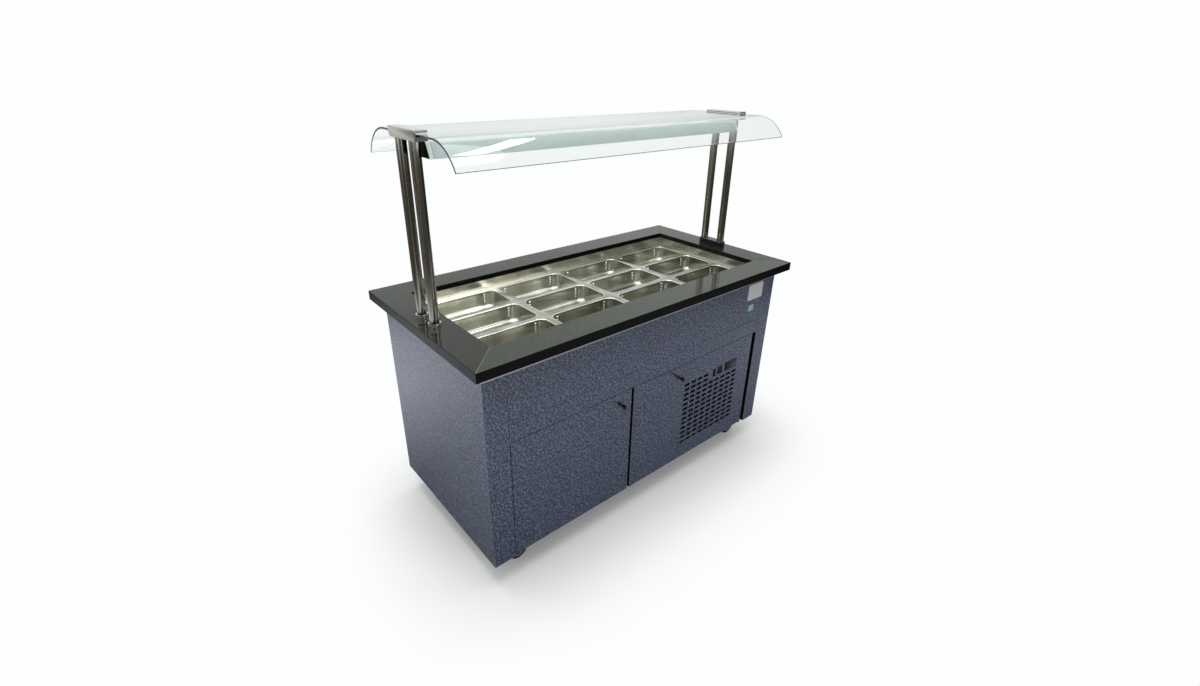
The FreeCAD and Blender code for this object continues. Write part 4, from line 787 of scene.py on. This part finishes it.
# Clear silicone: milky against the steel behind it.
silicone = material("clear_silicone", {"Roughness": 0.4})
bloom = node(silicone, "ShaderNodeTexNoise", {"Scale": 1 / SILICONE_BLOOM, "Detail": 2.0},
             {"Vector": "Object"})
node(silicone, "ShaderNodeValToRGB", {"stops": [(0.3, "#d3dcda"), (0.7, "#e0e7e5")]},
     {"Fac": (bloom, "Fac")}, {"Base Color": "Color"})
glass_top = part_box("glass_canopy")[1].z
for side, inward in (("left", 1), ("right", -1)):
    clamp = eased(side + "_glass_clamp", CLAMP_EDGE)
    coat(clamp, clamp_steel, rubber, polished, sawn, silicone)
    slot_top = glass_top + GASKETS[side]
    shadow_foot = slot_top - SHADOW_GAP
    # Under the upper jaw the strip's upper part is black rubber, as painted shade.
    pick(clamp, "FACE", lambda c, n: True)
    bpy.ops.mesh.bisect(plane_co=(0, 0, shadow_foot), plane_no=(0, 0, 1))
    bpy.ops.object.mode_set(mode="OBJECT")
    points = clamp.data.vertices
    for face in clamp.data.polygons:
        heights = [points[i].co.z for i in face.vertices]
        if min(heights) > glass_top - STRIP_FOOT and max(heights) < slot_top + NEAR:
            face.material_index = 1 if min(heights) > shadow_foot - NEAR else 4
        elif min(heights) > slot_top and max(face.normal.z, face.normal.x * inward) > 0.7:
            face.material_index = 2
        elif abs(face.normal.y) > 0.6 and min(heights) < glass_top - SHADED_END_BELOW:
            face.material_index = 3


# Lamp trough: aluminium sheet folded to a trough and painted pale grey, hung from
# the clamps by two tabs of its roof, with lit fluorescent tubes in spring holders.
TROUGH_END = 0.7015
TROUGH_TOP = (-0.065, 0.044)
TROUGH_FOLD = 0.007
TROUGH_SHEET = 0.0015
FOLD_STEPS = 5
TAB_HALF = 0.020
PAINT_PEEL = 0.010 / 3
# Stoved paint: a smooth pale grey with a soft sheen.
paint = material("stoved_grey_paint", {"Roughness": 0.3})
peel = node(paint, "ShaderNodeTexNoise", {"Scale": 1 / PAINT_PEEL, "Detail": 2.0},
            {"Vector": "Object"})
node(paint, "ShaderNodeValToRGB", {"stops": [(0.3, "#bccaca"), (0.7, "#c6d3d3")]},
     {"Fac": (peel, "Fac")}, {"Base Color": "Color"})
low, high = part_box("lamp_trough")
trough = begin(bpy.ops.mesh.primitive_plane_add,
               (2 * TROUGH_END, TROUGH_TOP[1] - TROUGH_TOP[0], 1.0),
               (0, sum(TROUGH_TOP) / 2, high.z))
# Both sides fold down from the roof; the front one leans out further.
for top_y, foot_y in zip(TROUGH_TOP, (low.y, high.y)):
    pick(trough, "EDGE", lambda a, b: max(abs(a.y - top_y), abs(b.y - top_y)) < NEAR)
    fall = (0, foot_y - top_y, low.z - high.z)
    bpy.ops.mesh.extrude_edges_move(TRANSFORM_OT_translate={"value": fall})
for top_y in TROUGH_TOP:
    pick(trough, "EDGE", lambda a, b: max(abs(a.y - top_y), abs(b.y - top_y)) < NEAR)
    bpy.ops.mesh.bevel(offset=TROUGH_FOLD, segments=FOLD_STEPS, affect="EDGES")
# The roof is slit twice at each end, and the strip between runs on as a tab.
for y in (-TAB_HALF, TAB_HALF):
    bpy.ops.mesh.select_all(action="SELECT")
    bpy.ops.mesh.bisect(plane_co=(0, y, 0), plane_no=(0, 1, 0))
for s, reach in ((-1, low.x), (1, high.x)):
    pick(trough, "EDGE", lambda a, b: min(s * a.x, s * b.x) > TROUGH_END - NEAR
         and max(abs(a.y), abs(b.y)) < TAB_HALF + NEAR)
    run_on = (reach - s * TROUGH_END, 0, 0)
    bpy.ops.mesh.extrude_edges_move(TRANSFORM_OT_translate={"value": run_on})
thickened(trough, TROUGH_SHEET, lambda face: face.center.z)
coat(trough, paint)
settle(trough, "lamp_trough.folded", "cabinet", 20)
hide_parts("lamp_trough")
# A moulded cap closes each end of the trough, white round its sides and black on its outer face;
# its inner face and edge against the trough are black rubber, a painted shade line in the seam.
CAP = 0.015
CAP_EDGE = 0.0015
PROUD = 0.0006
HAZE = 0.025 / 3
# Moulded white ABS: slightly green, with a soft sheen.
white_cap = material("moulded_white_abs", {"Roughness": 0.35})
haze = node(white_cap, "ShaderNodeTexNoise", {"Scale": 1 / HAZE, "Detail": 2.0},
            {"Vector": "Object"})
node(white_cap, "ShaderNodeValToRGB", {"stops": [(0.3, "#dfe6e2"), (0.7, "#e9eeeb")]},
     {"Fac": (haze, "Fac")}, {"Base Color": "Color"})
half_height = (low.z + high.z) / 2
for side, end in (("left", -TROUGH_END), ("right", TROUGH_END)):
    cap = begin(bpy.ops.mesh.primitive_cube_add,
                (CAP, high.y - low.y + 2 * PROUD, high.z - low.z - PROUD),
                (end - math.copysign(CAP / 2, end), (low.y + high.y) / 2,
                 (low.z + high.z - PROUD) / 2))
    for foot_y, top_y in zip((low.y, high.y), TROUGH_TOP):
        pick(cap, "VERT", lambda p: p.z > half_height and abs(p.y - foot_y) < 2 * PROUD)
        bpy.ops.transform.translate(value=(0, top_y - foot_y, 0))
    pick(cap, "EDGE", lambda a, b: abs(a.x - b.x) > CAP / 2 and a.z > half_height)
    bpy.ops.mesh.bevel(offset=TROUGH_FOLD, segments=FOLD_STEPS, affect="EDGES")
    pick(cap, "FACE", lambda c, n: abs(n.x) > SQUARE)
    bpy.ops.mesh.bevel(offset=CAP_EDGE, segments=2, affect="EDGES")
    bpy.ops.object.mode_set(mode="OBJECT")
    coat(cap, white_cap, abs_plastic, rubber)
    # Painted shade: the cap's inner face and edge get black rubber, so the seam reads dark.
    for face in cap.data.polygons:
        outer = abs(face.center.x - end) < 4 * NEAR
        inner = abs(face.center.x) < TROUGH_END - CAP + CAP_EDGE - NEAR
        face.material_index = 2 if inner else 1 if outer else 0
    settle(cap, side + "_trough_cap", "cabinet")
# Lit lamp glass: it glows evenly under its powder. The last stretch at each end is an
# aluminium ferrule in its holder.
FERRULE_FROM = 0.580
POWDER = 0.005
opal = material("lit_lamp_glass", {"Roughness": 0.2, "Emission Color": linear("#fbfffd"),
                                   "Emission Strength": 3.2})
powder = node(opal, "ShaderNodeTexNoise", {"Scale": 1 / POWDER}, {"Vector": "Object"})
node(opal, "ShaderNodeValToRGB", {"stops": [(0.3, "#e9ebe8"), (0.7, "#f3f4f1")]},
     {"Fac": (powder, "Fac")}, {"Base Color": "Color"})
lamps = eased("lamp_tubes")
for x in (-FERRULE_FROM, FERRULE_FROM):
    pick(lamps, "FACE", lambda c, n: True)
    bpy.ops.mesh.bisect(plane_co=(x, 0, 0), plane_no=(1, 0, 0))
bpy.ops.object.mode_set(mode="OBJECT")
coat(lamps, opal, aluminium)
for face in lamps.data.polygons:
    face.material_index = 1 if abs(face.center.x) > FERRULE_FROM else 0


# Glass canopy: one sheet of clear float glass bent down along both long sides,
# ground along its edges. It lies in the clamps' slots.
GLASS_FLAT = 0.164
GLASS_RADIUS = 0.138
GLASS_SWEEPS = {-1: math.radians(62.5), 1: math.radians(68.0)}
GLASS_THICK = 0.006
GLASS_ARRIS = 0.0006
BEND_STEPS = 24
LIP_REACH = 0.114
# Float glass: clear, with the slightest green.
clear_glass = material("clear_float_glass",
                       {"Base Color": linear("#f5faf8"), "Roughness": 0.0, "IOR": 1.5,
                        "Transmission Weight": 1.0})
# Ground edge: frosted, where the glass looks grey-green.
ground_edge = material("ground_glass_edge",
                       {"Base Color": linear("#4f625b"), "Roughness": 0.25, "IOR": 1.5,
                        "Transmission Weight": 0.3})
low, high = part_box("glass_canopy")
canopy = begin(bpy.ops.mesh.primitive_plane_add, (high.x - low.x, 2 * GLASS_FLAT, 1.0),
               (0, 0, high.z))
for s in (-1, 1):
    pick(canopy, "EDGE", lambda a, b: min(s * a.y, s * b.y) > GLASS_FLAT - NEAR)
    bpy.ops.mesh.spin(steps=BEND_STEPS, angle=s * GLASS_SWEEPS[s], axis=(1, 0, 0),
                      center=(0, s * GLASS_FLAT, high.z - GLASS_RADIUS))
bpy.ops.mesh.select_all(action="SELECT")
bpy.ops.mesh.remove_doubles(threshold=MERGE)
thickened(canopy, GLASS_THICK, lambda face: face.area)
modify(canopy, "ground_arris", "BEVEL", width=GLASS_ARRIS, segments=2,
       limit_method="ANGLE", angle_limit=math.radians(60))
coat(canopy, clear_glass, ground_edge)
for face in canopy.data.polygons:
    at_end = abs(face.normal.x) > 0.3
    at_lip = face.normal.z < -0.6 and abs(face.center.y) > GLASS_FLAT + LIP_REACH
    face.material_index = 1 if at_end or at_lip else 0
settle(canopy, "glass_canopy.bent", "cabinet", 40)
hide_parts("glass_canopy")
modify(canopy, "flat_faces_stay_flat", "WEIGHTED_NORMAL")


# Studio: a pale floor under the counter, soft light from all round that falls
# off towards the front, a large lamp overhead, and the photograph's camera.
FLOOR_SIZE = 60.0
# Half the counter's length and depth where it meets the floor's shadow.
FOOTPRINT = (0.736, 0.347, 0.0)
SHADOW_REACH = 2.4
MIRROR_REACH = 20.0
WHITE = linear("#fdfefe")
bpy.ops.object.select_all(action="DESELECT")
bpy.ops.mesh.primitive_plane_add(size=FLOOR_SIZE)
floor = bpy.context.object
floor.name = "studio_floor"
# Pale paper: white where the camera sees it, all the more away from the counter, so
# that a shadow stays close about it. Light that it throws back is that of a duller
# floor; reflections see it bright close to the counter and dark further off.
paper = material("pale_paper", {"Roughness": 0.9, "Specular IOR Level": 0.1})
rays = node(paper, "ShaderNodeLightPath")
seen = node(paper, "ShaderNodeMath", {"operation": "MAXIMUM"},
            {0: (rays, "Is Camera Ray"), 1: (rays, "Is Transmission Ray")})
mirror = node(paper, "ShaderNodeMath", {"operation": "GREATER_THAN"},
              {0: (rays, "Is Glossy Ray"), 1: (seen, 0)})
node(paper, "ShaderNodeMix", {"data_type": "RGBA", 6: linear("#8a8a88"), 7: linear("#fbfbfa")},
     {0: (seen, 0)}, {"Base Color": 2})
# How far a point of the floor lies outside the counter's footprint.
quarter = node(paper, "ShaderNodeVectorMath", {"operation": "ABSOLUTE"}, {0: "Object"})
offset = node(paper, "ShaderNodeVectorMath", {"operation": "SUBTRACT", 1: FOOTPRINT},
              {0: (quarter, "Vector")})
outside = node(paper, "ShaderNodeVectorMath", {"operation": "MAXIMUM"}, {0: (offset, "Vector")})
beyond = node(paper, "ShaderNodeVectorMath", {"operation": "LENGTH"}, {0: (outside, "Vector")})
near = node(paper, "ShaderNodeMapRange", {"From Max": SHADOW_REACH}, {"Value": (beyond, "Value")})
even = node(paper, "ShaderNodeValToRGB",
            {"stops": [(0.0, "#505050"), (0.045, "#727272"), (0.085, "#a4a4a4"),
                       (0.125, "#d8d8d8"), (0.17, "#f4f4f4"), (0.3, "#ffffff")]},
            {"Fac": (near, "Result")})
white = node(paper, "ShaderNodeMath", {"operation": "MULTIPLY"}, {0: (seen, 0), 1: (even, "Color")})
share = node(paper, "ShaderNodeMath", {"operation": "MAXIMUM"}, {0: (white, 0), 1: (mirror, 0)})
far = node(paper, "ShaderNodeMapRange", {"From Max": MIRROR_REACH}, {"Value": (beyond, "Value")})
mirrored = node(paper, "ShaderNodeValToRGB",
                {"stops": [(0.0, "#5a5a58"), (0.045, "#edf1fa"), (0.075, "#edf1fa"),
                           (0.13, "#4a4843"), (0.6, "#4a4843"), (0.8, "#e0e0de")]},
                {"Fac": (far, "Result")})
# The floor shines more to the left of the counter than to its right.
ends = node(paper, "ShaderNodeSeparateXYZ", {}, {0: "Object"})
side_light = node(paper, "ShaderNodeMapRange",
                  {"From Min": -1.5, "From Max": 1.5, "To Min": 1.6, "To Max": 0.8},
                  {"Value": (ends, "X")})
shine = node(paper, "ShaderNodeVectorMath", {"operation": "SCALE"},
             {0: (mirrored, "Color"), "Scale": (side_light, "Result")})
tone = node(paper, "ShaderNodeMix", {"data_type": "RGBA", 6: WHITE},
            {0: (mirror, 0), 7: (shine, "Vector")})
glow = node(paper, "ShaderNodeEmission", {"Strength": 1.0}, {"Color": (tone, 2)})
surface = paper.node_tree.nodes["Principled BSDF"]
both = node(paper, "ShaderNodeMixShader", {},
            {0: (share, 0), 1: (surface, "BSDF"), 2: (glow, "Emission")})
result = paper.node_tree.nodes["Material Output"]
paper.node_tree.links.new(both.outputs["Shader"], result.inputs["Surface"])
coat(floor, paper)

# The sky is white to the camera. It lights the counter most from above and the back left.
BRIGHT_WAY = (-0.5, 0.85, 0.5)
PANEL_WAY = Vector((0.3, -0.87, 0.4)).normalized()
world = bpy.data.worlds.new("studio")
world.use_nodes = True
bpy.context.scene.world = world
rays = node(world, "ShaderNodeLightPath")
lean = node(world, "ShaderNodeVectorMath", {"operation": "DOT_PRODUCT", 1: BRIGHT_WAY},
            {0: "Generated"})
reach = node(world, "ShaderNodeMapRange",
             {"From Min": -0.6, "From Max": 0.7, "To Min": 0.0, "To Max": 1.0},
             {"Value": (lean, "Value")})
fall = node(world, "ShaderNodeValToRGB",
            {"stops": [(0.0, "#6e6e6c"), (0.55, "#d6d8d7"), (0.75, "#f0f4f2"), (1.0, "#e3e7e5")]},
            {"Fac": (reach, "Result")})
# A bright panel in front of the counter shines into the left-hand pans.
turn = node(world, "ShaderNodeVectorMath", {"operation": "DOT_PRODUCT", 1: PANEL_WAY},
            {0: "Generated"})
panel = node(world, "ShaderNodeMapRange",
             {"From Min": 0.96, "From Max": 0.988, "To Max": 3.8}, {"Value": (turn, "Value")})
lit = node(world, "ShaderNodeMix", {"data_type": "RGBA", "blend_type": "ADD", 0: 1.0},
           {6: (fall, "Color"), 7: (panel, "Result")})
seen = node(world, "ShaderNodeMath", {"operation": "MAXIMUM"},
            {0: (rays, "Is Camera Ray"), 1: (rays, "Is Transmission Ray")})
sky = node(world, "ShaderNodeMix", {"data_type": "RGBA", 7: WHITE}, {0: (seen, 0), 6: (lit, 2)})
background = world.node_tree.nodes["Background"]
world.node_tree.links.new(sky.outputs[2], background.inputs["Color"])


def area_lamp(name, width, length, watts, place):
    """A rectangular lamp that shines straight down."""
    lamp = bpy.data.lights.new(name, "AREA")
    lamp.shape, lamp.size, lamp.size_y, lamp.energy = "RECTANGLE", width, length, watts
    made = bpy.data.objects.new(name, lamp)
    made.location = place
    bpy.context.scene.collection.objects.link(made)
    return made


SOFTBOX_AIM = Vector((0, 0, 0.6))
softbox = area_lamp("overhead_softbox", width=3.0, length=2.2, watts=62.0,
                    place=(-0.45, -0.05, 3.3))
softbox.visible_glossy = False
aim = SOFTBOX_AIM - softbox.location
softbox.rotation_euler = aim.to_track_quat("-Z", "Y").to_euler()
# A narrow strip lamp, set aslant, draws the bright wedge on the bend of the glass.
strip = area_lamp("strip_lamp", width=0.21, length=1.5, watts=11.0, place=(0.63, 0.29, 3.3))
strip.rotation_euler = (0.0, 0.0, math.radians(-26))

# The camera was fitted to the corners of the pans.
CAMERA_AT = (-1.3932, -1.5885, 1.6613)
AZIMUTH, ELEVATION, ROLL = (math.radians(angle) for angle in (40.356, 24.931, 0.866))
LENS = 16.71
SHIFT = (0.010, -0.015)
forward = Vector((math.sin(AZIMUTH) * math.cos(ELEVATION),
                  math.cos(AZIMUTH) * math.cos(ELEVATION), -math.sin(ELEVATION)))
right = Vector((math.cos(AZIMUTH), -math.sin(AZIMUTH), 0.0))
down = forward.cross(right)
turned_right = right * math.cos(ROLL) - down * math.sin(ROLL)
turned_down = right * math.sin(ROLL) + down * math.cos(ROLL)
view = bpy.data.cameras.new("photo_camera")
view.sensor_fit, view.sensor_width, view.lens = "HORIZONTAL", 36.0, LENS
view.shift_x, view.shift_y = SHIFT
camera = bpy.data.objects.new("photo_camera", view)
facing = Matrix((turned_right, -turned_down, -forward)).transposed().to_4x4()
camera.matrix_world = Matrix.Translation(CAMERA_AT) @ facing
bpy.context.scene.collection.objects.link(camera)
bpy.context.scene.camera = camera
bpy.context.scene.view_settings.view_transform = "Standard"
